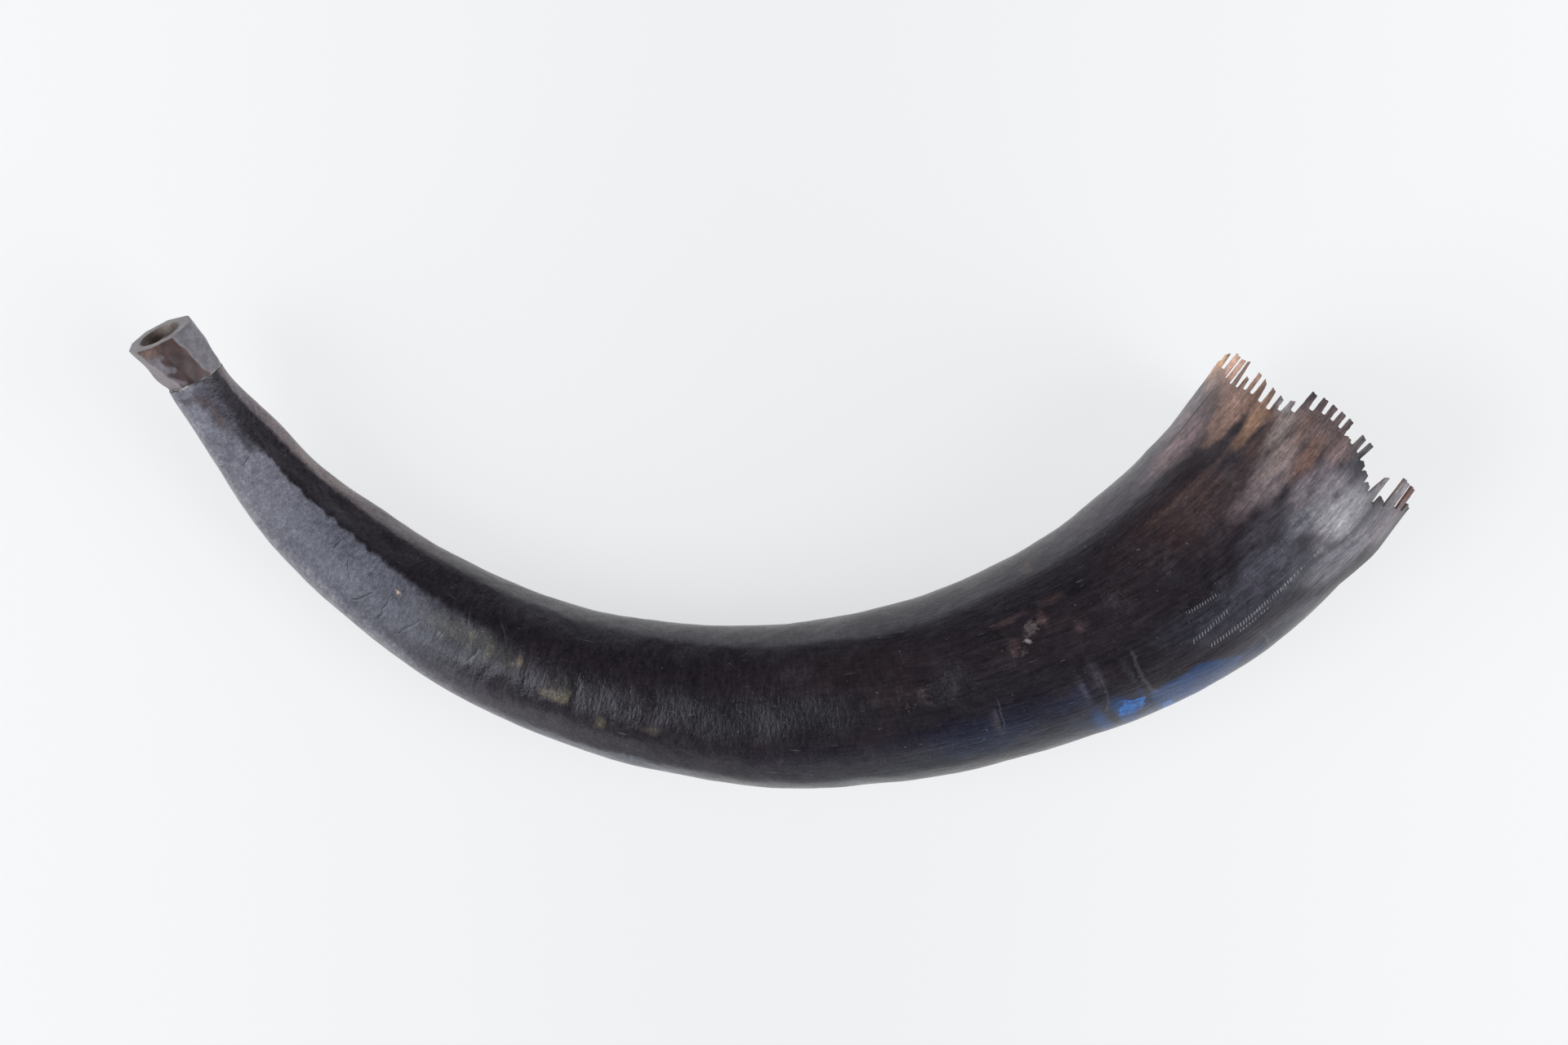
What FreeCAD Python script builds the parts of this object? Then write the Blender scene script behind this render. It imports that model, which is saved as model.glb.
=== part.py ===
import FreeCAD, Part
import Sketcher
import math
import os

# Blown horn: one natural horn, hollow from the bell, drilled at the tip, with a
# carved mouthpiece tenoned and cemented into the tip.
# Millimetres, +Z up. The horn lies on its side on the plane Z = 0, the bell to
# +X +Y and the mouthpiece to -X. The origin is under the middle of the whole
# object's box.

V = FreeCAD.Vector
doc = FreeCAD.newDocument("blown_horn")
sheet = doc.addObject("Spreadsheet::Sheet", "Sizes")

_row = [0]


def cell(alias, value):
    """One driving dimension: a name in column A, a plain number in column B."""
    _row[0] += 1
    sheet.set("A%d" % _row[0], alias)
    sheet.set("B%d" % _row[0], repr(value))
    sheet.setAlias("B%d" % _row[0], alias)


# Stations along the horn, tip first. Centre x, y, z; heading and slope of the
# centre line in degrees; full width and height of the outer section; full
# width and height of the bore or cavity (0 where the socket takes over).
STATIONS = [
    ( -224.88,    68.18,  37.13,  -63.12,  -16.27,  23.12,  22.77,   0.00,   0.00),
    ( -216.67,    55.19,  32.65,  -53.51,  -15.74,  25.35,  24.97,   9.00,   9.00),
    ( -206.14,    41.74,  28.27,  -51.98,  -12.64,  29.68,  28.96,   9.00,   9.00),
    ( -193.45,    25.74,  24.56,  -49.04,   -8.13,  33.64,  33.03,   9.00,   9.00),
    ( -176.53,     8.94,  22.10,  -41.78,   -3.76,  38.70,  37.07,   9.20,   9.19),
    ( -156.76,    -7.38,  21.31,  -37.01,    0.08,  42.66,  40.71,  10.00,   9.97),
    ( -135.52,   -21.91,  21.97,  -31.94,    2.53,  46.87,  43.84,  13.00,  12.80),
    ( -111.58,   -35.15,  23.39,  -25.32,    3.02,  49.89,  46.77,  19.50,  18.95),
    (  -86.23,   -45.21,  24.73,  -18.49,    2.71,  52.12,  49.45,  28.00,  27.15),
    (  -58.53,   -52.98,  26.08,  -12.82,    2.69,  55.87,  52.17,  37.00,  35.27),
    (  -27.10,   -58.31,  27.59,   -6.45,    2.76,  59.77,  55.19,  45.50,  42.71),
    (    7.90,   -59.79,  29.35,    2.21,    2.97,  64.52,  58.69,  53.00,  48.73),
    (   42.65,   -55.75,  31.23,   10.22,    3.19,  68.14,  62.46,  59.00,  54.27),
    (   76.62,   -47.60,  33.24,   17.23,    3.37,  71.39,  66.49,  64.20,  59.69),
    (  106.34,   -36.44,  35.16,   23.45,    3.59,  76.31,  70.32,  70.40,  64.41),
    (  134.83,   -22.45,  37.21,   29.15,    3.73,  81.55,  74.42,  76.60,  69.47),
    (  158.79,    -6.93,  39.06,   37.58,    3.65,  87.53,  78.11,  83.00,  73.59),
    (  177.75,     9.79,  40.64,   44.20,    3.50,  89.31,  81.28,  85.30,  77.27),
    (  193.97,    26.81,  42.02,   49.10,    3.19,  91.92,  84.04,  88.20,  80.32),
    (  207.63,    44.18,  43.19,   54.21,    2.95,  93.12,  86.39,  89.50,  82.77),
    (  213.57,    52.70,  43.73,   55.93,    2.96,  94.27,  87.46,  90.70,  83.89),
    (  216.03,    56.33,  43.96,   55.93,    2.96,  94.37,  87.66,  90.80,  84.09),
]
for i, st in enumerate(STATIONS):
    for word, value in zip(("x", "y", "z", "heading", "slope", "wide", "high", "borewide", "borehigh"), st):
        cell("st%02d_%s" % (i + 1, word), value)

# The bell rim: frame of the comb.
cell("rim_x", STATIONS[19][0])
cell("rim_y", STATIONS[19][1])
cell("rim_z", STATIONS[19][2])
cell("rim_heading", STATIONS[19][3])
cell("rim_slope", STATIONS[19][4])
cell("rim_station", 513.8)
cell("rim_halfwide", 45.7)
cell("rim_halfhigh", 42.3)
cell("comb_reach_in", 4.5)
cell("comb_reach_out", 6.0)
cell("comb_clear", 34.0)
cell("comb_lap", 1.12)

# Saw slots of the comb, in order round the rim. Angle round the section from
# the inner side of the curve, gap, station of the slot floor, angle of the saw
# blade, and station of the tip of the tooth that follows the slot.
SLOTS = [
    (  6.20,  1.60,  515.2,    6.2,  522.4),
    ( 16.07,  2.93,  515.6,   64.1,  524.1),
    ( 25.12,  1.02,  512.7,   67.3,  523.4),
    ( 31.40,  1.24,  511.5,   69.5,  524.0),
    ( 36.75,  1.31,  511.7,   71.4,  518.0),
    ( 42.12,  1.54,  512.7,   73.2,  522.0),
    ( 47.12,  1.59,  512.9,   75.0,  520.8),
    ( 53.58,  1.73,  512.0,   77.3,  519.7),
    ( 59.38,  1.71,  511.4,   79.3,  518.7),
    ( 64.50,  1.55,  513.6,   81.1,  520.0),
    ( 70.30,  1.90,  516.3,   83.1,  526.9),
    ( 76.88,  1.81,  520.8,   85.4,  527.3),
    ( 82.55,  1.54,  522.1,   87.4,  527.0),
    ( 87.45,  1.54,  522.0,   89.1,  526.6),
    ( 92.33,  1.50,  521.3,   90.8,  526.1),
    ( 96.50,  0.90,  520.0,   92.3,  520.2),
    (101.33,  1.49,  519.0,   94.0,  523.6),
    (106.25,  1.20,  517.6,   95.7,  523.0),
    (109.83,  0.91,  516.0,   96.9,  516.0),
    (114.00,  0.90,  513.4,   98.4,  513.7),
    (119.00,  0.92,  510.6,  100.2,  511.0),
    (123.92,  1.23,  509.2,  101.9,  517.0),
    (130.55,  1.51,  506.5,  104.2,  510.1),
    (137.85,  1.02,  508.2,  106.7,  519.9),
    (148.00,  2.50,  510.5,  110.3,  519.5),
    (156.80,  2.05,  511.2,  113.4,  514.2),
    (165.50,  1.60,  511.5,  165.5,  513.3),
    (171.80,  1.60,  512.2,  171.8,  513.7),
    (177.90,  1.70,  512.6,  177.9,  513.9),
    (184.20,  1.60,  512.0,  184.2,  513.4),
    (190.00,  1.60,  511.4,  190.0,  513.0),
    (195.80,  1.70,  510.8,  195.8,  512.2),
    (201.50,  1.60,  509.8,  201.5,  511.4),
    (207.40,  1.60,  508.6,  207.4,  510.1),
    (213.00,  1.60,  507.2,  213.0,  509.4),
    (218.40,  1.70,  505.9,  218.4,  508.0),
    (223.80,  1.60,  505.2,  223.8,  508.5),
    (229.00,  1.60,  504.4,  229.0,  506.9),
    (234.50,  1.60,  503.6,  234.5,  506.5),
    (239.90,  1.70,  503.0,  239.9,  506.3),
    (245.20,  1.60,  502.6,  245.2,  504.8),
    (250.80,  1.60,  502.2,  250.8,  510.6),
    (256.20,  1.60,  502.0,  256.2,  511.4),
    (261.70,  1.70,  501.8,  261.7,  509.9),
    (267.00,  1.60,  502.1,  267.0,  511.0),
    (272.60,  1.60,  502.4,  272.6,  504.2),
    (278.00,  1.60,  502.6,  278.0,  511.8),
    (283.30,  1.70,  503.0,  283.3,  510.3),
    (288.90,  1.60,  503.2,  288.9,  512.0),
    (294.20,  1.60,  503.8,  294.2,  506.0),
    (299.80,  1.60,  504.4,  299.8,  510.9),
    (305.30,  1.70,  505.0,  305.3,  512.2),
    (311.00,  1.60,  505.4,  311.0,  511.4),
    (316.60,  1.60,  506.0,  316.6,  508.2),
    (322.40,  1.60,  506.6,  322.4,  511.6),
    (328.30,  1.70,  507.4,  328.3,  512.4),
    (334.40,  1.60,  508.4,  334.4,  513.0),
    (340.60,  1.60,  509.8,  340.6,  514.1),
    (347.00,  1.70,  511.2,  347.0,  513.4),
    (353.40,  1.60,  512.6,  353.4,  515.1),
    (359.60,  1.60,  514.0,  359.6,  517.8),
]
for i, sl in enumerate(SLOTS):
    for word, value in zip(("turn", "gap", "floor", "blade", "tip"), sl):
        cell("slot%02d_%s" % (i + 1, word), value)

# Mouthpiece, in the frame of the seam: origin at the centre of the horn's cut
# tip, local Z out of the tip, local Y up, local X to the outer side.
cell("seam_heading", STATIONS[0][3] + 180.0)
cell("seam_slope", -STATIONS[0][4])
cell("seam_gap", 0.5)
cell("seam_bead_r", 12.2)
cell("mouth_offset_x", 4.56)
cell("mouth_offset_y", 0.8)
cell("mouth_offset_z", 21.9)
cell("mouth_lean", -6.4)
cell("drill_pitch", 11.76)
cell("drill_roll", -2.05)
cell("collar_base_r", 11.95)
cell("collar_mouth_r", 13.25)
cell("tenon_r", 6.2)
cell("tenon_length", 15.5)
cell("socket_r", 6.6)
cell("socket_depth", 16.0)
cell("throat_r", 4.0)
cell("cup_r", 7.9)
cell("cup_depth", 7.0)
cell("cup_top", 22.4)
FACET_ANGLES = (12.0, 58.0, 122.0, 168.0, 205.0, 250.0, 295.0, 335.0)
for i, a in enumerate(FACET_ANGLES):
    cell("facet%02d_turn" % (i + 1), a)
doc.recompute()


def val(alias):
    return float(getattr(sheet, alias))


def plane(body, role):
    return [f for f in body.Origin.OriginFeatures if f.Role == role][0]


def place(px, py, pz, yaw, pitch, roll):
    """Expression text for a placement."""
    return ("create(<<placement>>; create(<<vector>>; %s; %s; %s); create(<<rotation>>; %s; %s; %s))"
            % (px, py, pz, yaw, pitch, roll))


def sketch(body, name, offset):
    sk = body.newObject("Sketcher::SketchObject", name)
    sk.AttachmentSupport = (plane(body, "XY_Plane"), [""])
    sk.MapMode = "FlatFace"
    sk.setExpression("AttachmentOffset", offset)
    return sk


def station_place(n):
    p = "Sizes.st%02d_" % n
    return place(p + "x", p + "y", p + "z", p + "heading + 90", "0", "90 - " + p + "slope")


def ellipse_sketch(body, name, offset, wide, high):
    """A whole ellipse on its own centre, width and height bound to two cells."""
    sk = sketch(body, name, offset)
    w, h = val(wide), val(high)
    if abs(w - h) < 1e-6:
        g = sk.addGeometry(Part.Circle(V(0, 0, 0), V(0, 0, 1), w / 2), False)
        sk.addConstraint(Sketcher.Constraint("Coincident", g, 3, -1, 1))
        c = sk.addConstraint(Sketcher.Constraint("Diameter", g, w))
        sk.renameConstraint(c, "wide")
        sk.setExpression("Constraints.wide", "Sizes." + wide)
        return sk
    g = sk.addGeometry(Part.Ellipse(V(w / 2, 0, 0), V(0, h / 2, 0), V(0, 0, 0)), False)
    sk.exposeInternalGeometry(g)
    sk.addConstraint(Sketcher.Constraint("Coincident", g, 3, -1, 1))
    sk.addConstraint(Sketcher.Constraint("Horizontal", g + 1))
    c = sk.addConstraint(Sketcher.Constraint("Distance", g + 1, w))
    sk.renameConstraint(c, "wide")
    c = sk.addConstraint(Sketcher.Constraint("Distance", g + 2, h))
    sk.renameConstraint(c, "high")
    sk.setExpression("Constraints.wide", "Sizes." + wide)
    sk.setExpression("Constraints.high", "Sizes." + high)
    return sk


def circle_sketch(body, name, offset, radius):
    sk = sketch(body, name, offset)
    g = sk.addGeometry(Part.Circle(V(0, 0, 0), V(0, 0, 1), val(radius)), False)
    sk.addConstraint(Sketcher.Constraint("Coincident", g, 3, -1, 1))
    c = sk.addConstraint(Sketcher.Constraint("Radius", g, val(radius)))
    sk.renameConstraint(c, "radius")
    sk.setExpression("Constraints.radius", "Sizes." + radius)
    return sk


def facet_sketch(body, name, offset, radius):
    """The carved outline: one flat between each pair of angles in the sheet."""
    sk = sketch(body, name, offset)
    n = len(FACET_ANGLES)
    r = val(radius)
    pts = [V(r * math.cos(math.radians(a)), r * math.sin(math.radians(a)), 0) for a in FACET_ANGLES]
    ids = [sk.addGeometry(Part.LineSegment(pts[i], pts[(i + 1) % n]), False) for i in range(n)]
    for i in range(n):
        sk.addConstraint(Sketcher.Constraint("Coincident", ids[i], 2, ids[(i + 1) % n], 1))
    for i in range(n):
        for axis, fn in (("X", "cos"), ("Y", "sin")):
            v = pts[i].x if axis == "X" else pts[i].y
            c = sk.addConstraint(Sketcher.Constraint("Distance" + axis, -1, 1, ids[i], 1, v))
            nm = "corner%02d%s" % (i + 1, axis.lower())
            sk.renameConstraint(c, nm)
            sk.setExpression("Constraints." + nm,
                             "Sizes.%s * %s(Sizes.facet%02d_turn * 1 deg)" % (radius, fn, i + 1))
    return sk


def volume_drop(before, feature):
    """A cut must take something away."""
    after = feature.Shape.Volume
    if not after < before - 1e-6:
        raise RuntimeError("%s cut nothing" % feature.Label)
    return after


# --------------------------------------------------------------------------
# The horn. Outer skin lofted through every station, cavity lofted from the
# drilled bore to the open bell, round socket for the tenon at the tip.
# --------------------------------------------------------------------------
horn = doc.addObject("PartDesign::Body", "HornBlank")
horn.Label = "horn_blank"
outer = [ellipse_sketch(horn, "Outer%02d" % (i + 1), station_place(i + 1),
                        "st%02d_wide" % (i + 1), "st%02d_high" % (i + 1))
         for i in range(len(STATIONS))]
skin = horn.newObject("PartDesign::AdditiveLoft", "HornSkin")
skin.Profile = outer[0]
skin.Sections = outer[1:]
skin.Ruled = False
doc.recompute()
vol = skin.Shape.Volume

inner = [ellipse_sketch(horn, "Cavity%02d" % (i + 1), station_place(i + 1),
                        "st%02d_borewide" % (i + 1), "st%02d_borehigh" % (i + 1))
         for i in range(1, len(STATIONS))]
# one more section past the open end so that the cavity runs right through it
last = "Sizes.st%02d_" % len(STATIONS)
past = ellipse_sketch(horn, "CavityPast",
                      station_place(len(STATIONS)) + " * " + place("0", "0", "2", "0", "0", "0"),
                      "st%02d_borewide" % len(STATIONS), "st%02d_borehigh" % len(STATIONS))
cavity = horn.newObject("PartDesign::SubtractiveLoft", "HornCavity")
cavity.Profile = inner[0]
cavity.Sections = inner[1:] + [past]
cavity.Ruled = False
doc.recompute()
vol = volume_drop(vol, cavity)

seam_place = place("Sizes.st01_x", "Sizes.st01_y", "Sizes.st01_z",
                   "Sizes.seam_heading + 90", "0", "90 - Sizes.seam_slope")
drill_turn = place("0", "0", "0", "0", "Sizes.drill_pitch", "Sizes.drill_roll")
socket_sketch = circle_sketch(horn, "SocketRound",
                              seam_place + " * " + drill_turn + " * " + place("0", "0", "3", "0", "0", "0"),
                              "socket_r")
socket = horn.newObject("PartDesign::Pocket", "TenonSocket")
socket.Profile = socket_sketch
socket.Type = 0
socket.setExpression("Length", "Sizes.socket_depth + 3")
doc.recompute()
vol = volume_drop(vol, socket)
horn.Tip = socket

# The comb. One cutter for each saw slot and one for what is worn or broken
# off each tooth, all placed from the rim's own frame.
rim = doc.addObject("Part::Plane", "RimFrame")
rim.Length = 10
rim.Width = 10
rim.setExpression("Placement", place("Sizes.rim_x", "Sizes.rim_y", "Sizes.rim_z",
                                     "Sizes.rim_heading + 90", "0", "90 - Sizes.rim_slope"))
cutters = []
n = len(SLOTS)
for i in range(n):
    p = "Sizes.slot%02d_" % (i + 1)
    b = doc.addObject("Part::Box", "Slot%02d" % (i + 1))
    b.setExpression("Length", "Sizes.comb_reach_in + Sizes.comb_reach_out")
    b.setExpression("Width", p + "gap")
    b.setExpression("Height", "Sizes.comb_clear")
    b.setExpression("Placement",
                    "RimFrame.Placement * "
                    + place("Sizes.rim_halfwide * cos(%sturn * 1 deg)" % p,
                            "Sizes.rim_halfhigh * sin(%sturn * 1 deg)" % p,
                            "%sfloor - Sizes.rim_station" % p, p + "blade", "0", "0")
                    + " * " + place("-Sizes.comb_reach_in", "-%sgap / 2" % p, "0", "0", "0", "0"))
    cutters.append(b)
    # the tooth between this slot and the next one
    t0 = SLOTS[i][0]
    t1 = SLOTS[(i + 1) % n][0] + (360.0 if i == n - 1 else 0.0)
    mid = 0.5 * (t0 + t1)
    q = "Sizes.slot%02d_" % ((i + 1) % n + 1)
    wrap = " + 360" if i == n - 1 else ""
    turn = "((%sturn + %sturn%s) / 2)" % (p, q, wrap)
    w = doc.addObject("Part::Box", "Worn%02d" % (i + 1))
    w.setExpression("Length", "Sizes.comb_reach_in + Sizes.comb_reach_out")
    w.setExpression("Width", "(%sturn%s - %sturn) * pi / 180 * Sizes.rim_halfwide * Sizes.comb_lap" % (q, wrap, p))
    w.setExpression("Height", "Sizes.comb_clear")
    w.setExpression("Placement",
                    "RimFrame.Placement * "
                    + place("Sizes.rim_halfwide * cos(%s * 1 deg)" % turn,
                            "Sizes.rim_halfhigh * sin(%s * 1 deg)" % turn,
                            "%stip - Sizes.rim_station" % p, turn, "0", "0")
                    + " * " + place("-Sizes.comb_reach_in",
                                    "-(%sturn%s - %sturn) * pi / 360 * Sizes.rim_halfwide * Sizes.comb_lap" % (q, wrap, p),
                                    "0", "0", "0", "0"))
    cutters.append(w)
comb = doc.addObject("Part::MultiFuse", "CombCutters")
comb.Shapes = cutters
horn_body = doc.addObject("Part::Cut", "HornBody")
horn_body.Base = horn
horn_body.Tool = comb
horn_body.Label = "horn_body"
doc.recompute()
if not horn_body.Shape.Volume < vol - 1.0:
    raise RuntimeError("the comb cut nothing")

# --------------------------------------------------------------------------
# The mouthpiece: faceted collar, slanted mouth face, cup, throat and tenon.
# --------------------------------------------------------------------------
mouth = doc.addObject("PartDesign::Body", "Mouthpiece")
mouth.Label = "mouthpiece"
mouth.setExpression("Placement", seam_place)
base_outline = facet_sketch(mouth, "CollarBase", place("0", "0", "Sizes.seam_gap", "0", "0", "0"), "collar_base_r")
mouth_outline = facet_sketch(mouth, "CollarMouth",
                             place("Sizes.mouth_offset_x", "Sizes.mouth_offset_y", "Sizes.mouth_offset_z",
                                   "0", "0", "Sizes.mouth_lean"), "collar_mouth_r")
collar = mouth.newObject("PartDesign::AdditiveLoft", "Collar")
collar.Profile = base_outline
collar.Sections = [mouth_outline]
collar.Ruled = True
doc.recompute()

tenon_sketch = circle_sketch(mouth, "TenonRound",
                             drill_turn + " * " + place("0", "0", "4", "0", "0", "0"), "tenon_r")
tenon = mouth.newObject("PartDesign::Pad", "Tenon")
tenon.Profile = tenon_sketch
tenon.Type = 0
tenon.Reversed = True
tenon.setExpression("Length", "Sizes.tenon_length + 4")
doc.recompute()
mvol = tenon.Shape.Volume

# Cup and throat in one turned cut about the drill axis: a bowl that closes in
# a short curve to the straight throat, open right through the tenon.
cup_sketch = sketch(mouth, "CupProfile", place("0", "0", "0", "0", "Sizes.drill_pitch", "Sizes.drill_roll + 90"))
rt, rc = val("throat_r"), val("cup_r")
zt, zb, zl = val("cup_top"), val("cup_top") - val("cup_depth"), -val("tenon_length") - 2
top = zt + 6
pts = [V(0, zl, 0), V(rt, zl, 0), V(rt, zb, 0), V(rc, zt, 0), V(rc + 1.2, top, 0), V(0, top, 0)]
ids = []
for i in range(len(pts)):
    ids.append(cup_sketch.addGeometry(Part.LineSegment(pts[i], pts[(i + 1) % len(pts)]), False))
for i in range(len(pts)):
    cup_sketch.addConstraint(Sketcher.Constraint("Coincident", ids[i], 2, ids[(i + 1) % len(pts)], 1))
corner_cells = {
    1: ("Sizes.throat_r", "-(Sizes.tenon_length + 2)"),
    2: ("Sizes.throat_r", "Sizes.cup_top - Sizes.cup_depth"),
    3: ("Sizes.cup_r", "Sizes.cup_top"),
    4: ("Sizes.cup_r + 1.2", "Sizes.cup_top + 6"),
}
for i in range(len(pts)):
    if i in (0, 5):
        c = cup_sketch.addConstraint(Sketcher.Constraint("PointOnObject", ids[i], 1, -2))
        c = cup_sketch.addConstraint(Sketcher.Constraint("DistanceY", -1, 1, ids[i], 1, pts[i].y))
        cup_sketch.renameConstraint(c, "axis%d" % i)
        cup_sketch.setExpression("Constraints.axis%d" % i,
                                 "-(Sizes.tenon_length + 2)" if i == 0 else "Sizes.cup_top + 6")
        continue
    for axis, v, ex in (("X", pts[i].x, corner_cells[i][0]), ("Y", pts[i].y, corner_cells[i][1])):
        c = cup_sketch.addConstraint(Sketcher.Constraint("Distance" + axis, -1, 1, ids[i], 1, v))
        nm = "p%d%s" % (i, axis.lower())
        cup_sketch.renameConstraint(c, nm)
        cup_sketch.setExpression("Constraints." + nm, ex)
cup = mouth.newObject("PartDesign::Groove", "CupAndThroat")
cup.Profile = cup_sketch
cup.ReferenceAxis = (cup_sketch, ["V_Axis"])
cup.Angle = 360
doc.recompute()
mvol = volume_drop(mvol, cup)
mouth.Tip = cup

# --------------------------------------------------------------------------
# The cement: a thin sleeve round the tenon, a washer in the seam, and its
# squeezed-out edge standing just proud of both pieces.
# --------------------------------------------------------------------------
cement = doc.addObject("PartDesign::Body", "MouthpieceCement")
cement.Label = "mouthpiece_cement"
cement.setExpression("Placement", seam_place)
washer_sketch = circle_sketch(cement, "SeamWasher", place("0", "0", "0", "0", "0", "0"), "seam_bead_r")
washer = cement.newObject("PartDesign::Pad", "Washer")
washer.Profile = washer_sketch
washer.Type = 0
washer.setExpression("Length", "Sizes.seam_gap")
doc.recompute()
sleeve_sketch = circle_sketch(cement, "SleeveRound", drill_turn + " * " + place("0", "0", "-1.0", "0", "0", "0"), "socket_r")
sleeve = cement.newObject("PartDesign::Pad", "Sleeve")
sleeve.Profile = sleeve_sketch
sleeve.Type = 0
sleeve.Reversed = True
sleeve.setExpression("Length", "Sizes.socket_depth - 1.0")
doc.recompute()
cvol = sleeve.Shape.Volume
hole_sketch = circle_sketch(cement, "TenonHole", drill_turn + " * " + place("0", "0", "4", "0", "0", "0"), "tenon_r")
hole = cement.newObject("PartDesign::Pocket", "TenonBore")
hole.Profile = hole_sketch
hole.Type = 0
hole.setExpression("Length", "Sizes.tenon_length + 4")
doc.recompute()
cvol = volume_drop(cvol, hole)
way_sketch = circle_sketch(cement, "WindwayRound", drill_turn + " * " + place("0", "0", "4", "0", "0", "0"), "throat_r")
way = cement.newObject("PartDesign::Pocket", "Windway")
way.Profile = way_sketch
way.Type = 0
way.setExpression("Length", "Sizes.socket_depth + 8")
doc.recompute()
cvol = volume_drop(cvol, way)
cement.Tip = way

# --------------------------------------------------------------------------
doc.recompute()
bad = [o.Label for o in doc.Objects if any(s in ("Invalid", "Error") for s in o.State)]
if bad:
    raise RuntimeError("failed objects: %s" % ", ".join(bad))
pieces = [horn_body, mouth, cement]
for o in pieces:
    if o.Shape.isNull() or not o.Shape.isValid():
        raise RuntimeError("%s has no valid shape" % o.Label)
os.makedirs("parts", exist_ok=True)
box = FreeCAD.BoundBox()
for o in pieces:
    o.Shape.exportStep(os.path.join("parts", o.Label + ".step"))
    bb = o.Shape.BoundBox
    box.add(bb)
    print("%-18s solids %d  volume %.1f mm3  box %.1f %.1f %.1f to %.1f %.1f %.1f"
          % (o.Label, len(o.Shape.Solids), o.Shape.Volume, bb.XMin, bb.YMin, bb.ZMin, bb.XMax, bb.YMax, bb.ZMax))
print("whole box", [round(v, 2) for v in (box.XMin, box.YMin, box.ZMin, box.XMax, box.YMax, box.ZMax)])
for a, b in ((0, 1), (0, 2), (1, 2)):
    c = pieces[a].Shape.common(pieces[b].Shape)
    print("overlap %s / %s: %.3f mm3" % (pieces[a].Label, pieces[b].Label, c.Volume))
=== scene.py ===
import math

import bpy
import numpy as np
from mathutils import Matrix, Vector


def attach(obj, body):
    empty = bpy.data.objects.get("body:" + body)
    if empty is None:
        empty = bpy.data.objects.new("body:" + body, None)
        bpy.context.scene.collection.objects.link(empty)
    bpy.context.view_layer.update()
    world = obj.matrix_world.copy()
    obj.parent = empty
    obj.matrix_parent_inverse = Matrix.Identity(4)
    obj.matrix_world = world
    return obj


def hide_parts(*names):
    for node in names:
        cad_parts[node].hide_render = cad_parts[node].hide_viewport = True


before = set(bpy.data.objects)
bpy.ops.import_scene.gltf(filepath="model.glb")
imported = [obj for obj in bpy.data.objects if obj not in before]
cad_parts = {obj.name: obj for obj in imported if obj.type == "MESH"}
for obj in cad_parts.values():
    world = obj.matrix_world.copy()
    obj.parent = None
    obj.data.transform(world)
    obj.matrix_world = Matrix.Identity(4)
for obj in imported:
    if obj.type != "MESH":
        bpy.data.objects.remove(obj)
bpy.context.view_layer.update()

# ---------------------------------------------------------------------------
# The horn's middle line and its oval sections, in millimetres: distance along
# the horn, x, y, z, heading, slope, width and height of the section, and the
# width of the cavity. Angles round a section start on the inner side of the
# curve and go over the top: 0 inner side, 90 top, 180 outer side, 270 below.
# ---------------------------------------------------------------------------
STATIONS = [
    (0.00, -224.88, 68.18, 37.13, -63.12, -16.27, 23.12, 22.77, 9.0),
    (16.02, -216.67, 55.19, 32.65, -53.51, -15.74, 25.35, 24.97, 9.0),
    (33.66, -206.14, 41.74, 28.27, -51.98, -12.64, 29.68, 28.96, 9.0),
    (54.43, -193.45, 25.74, 24.56, -49.04, -8.13, 33.64, 33.03, 9.0),
    (78.42, -176.53, 8.94, 22.10, -41.78, -3.76, 38.70, 37.07, 9.2),
    (104.08, -156.76, -7.38, 21.31, -37.01, 0.08, 42.66, 40.71, 10.0),
    (129.84, -135.52, -21.91, 21.97, -31.94, 2.53, 46.87, 43.84, 13.0),
    (157.25, -111.58, -35.15, 23.39, -25.32, 3.02, 49.89, 46.77, 19.5),
    (184.57, -86.23, -45.21, 24.73, -18.49, 2.71, 52.12, 49.45, 28.0),
    (213.38, -58.53, -52.98, 26.08, -12.82, 2.69, 55.87, 52.17, 37.0),
    (245.31, -27.10, -58.31, 27.59, -6.45, 2.76, 59.77, 55.19, 45.5),
    (280.42, 7.90, -59.79, 29.35, 2.21, 2.97, 64.52, 58.69, 53.0),
    (315.49, 42.65, -55.75, 31.23, 10.22, 3.19, 68.14, 62.46, 59.0),
    (350.50, 76.62, -47.60, 33.24, 17.23, 3.37, 71.39, 66.49, 64.2),
    (382.32, 106.34, -36.44, 35.16, 23.45, 3.59, 76.31, 70.32, 70.4),
    (414.13, 134.83, -22.45, 37.21, 29.15, 3.73, 81.55, 74.42, 76.6),
    (442.77, 158.79, -6.93, 39.06, 37.58, 3.65, 87.53, 78.11, 83.0),
    (468.11, 177.75, 9.79, 40.64, 44.20, 3.50, 89.31, 81.28, 85.3),
    (491.67, 193.97, 26.81, 42.02, 49.10, 3.19, 91.92, 84.04, 88.2),
    (513.80, 207.63, 44.18, 43.19, 54.21, 2.95, 93.12, 86.39, 89.5),
    (524.21, 213.57, 52.70, 43.73, 55.93, 2.96, 94.27, 87.46, 90.7),
    (528.60, 216.03, 56.33, 43.96, 55.93, 2.96, 94.37, 87.66, 90.8),
]

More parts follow.
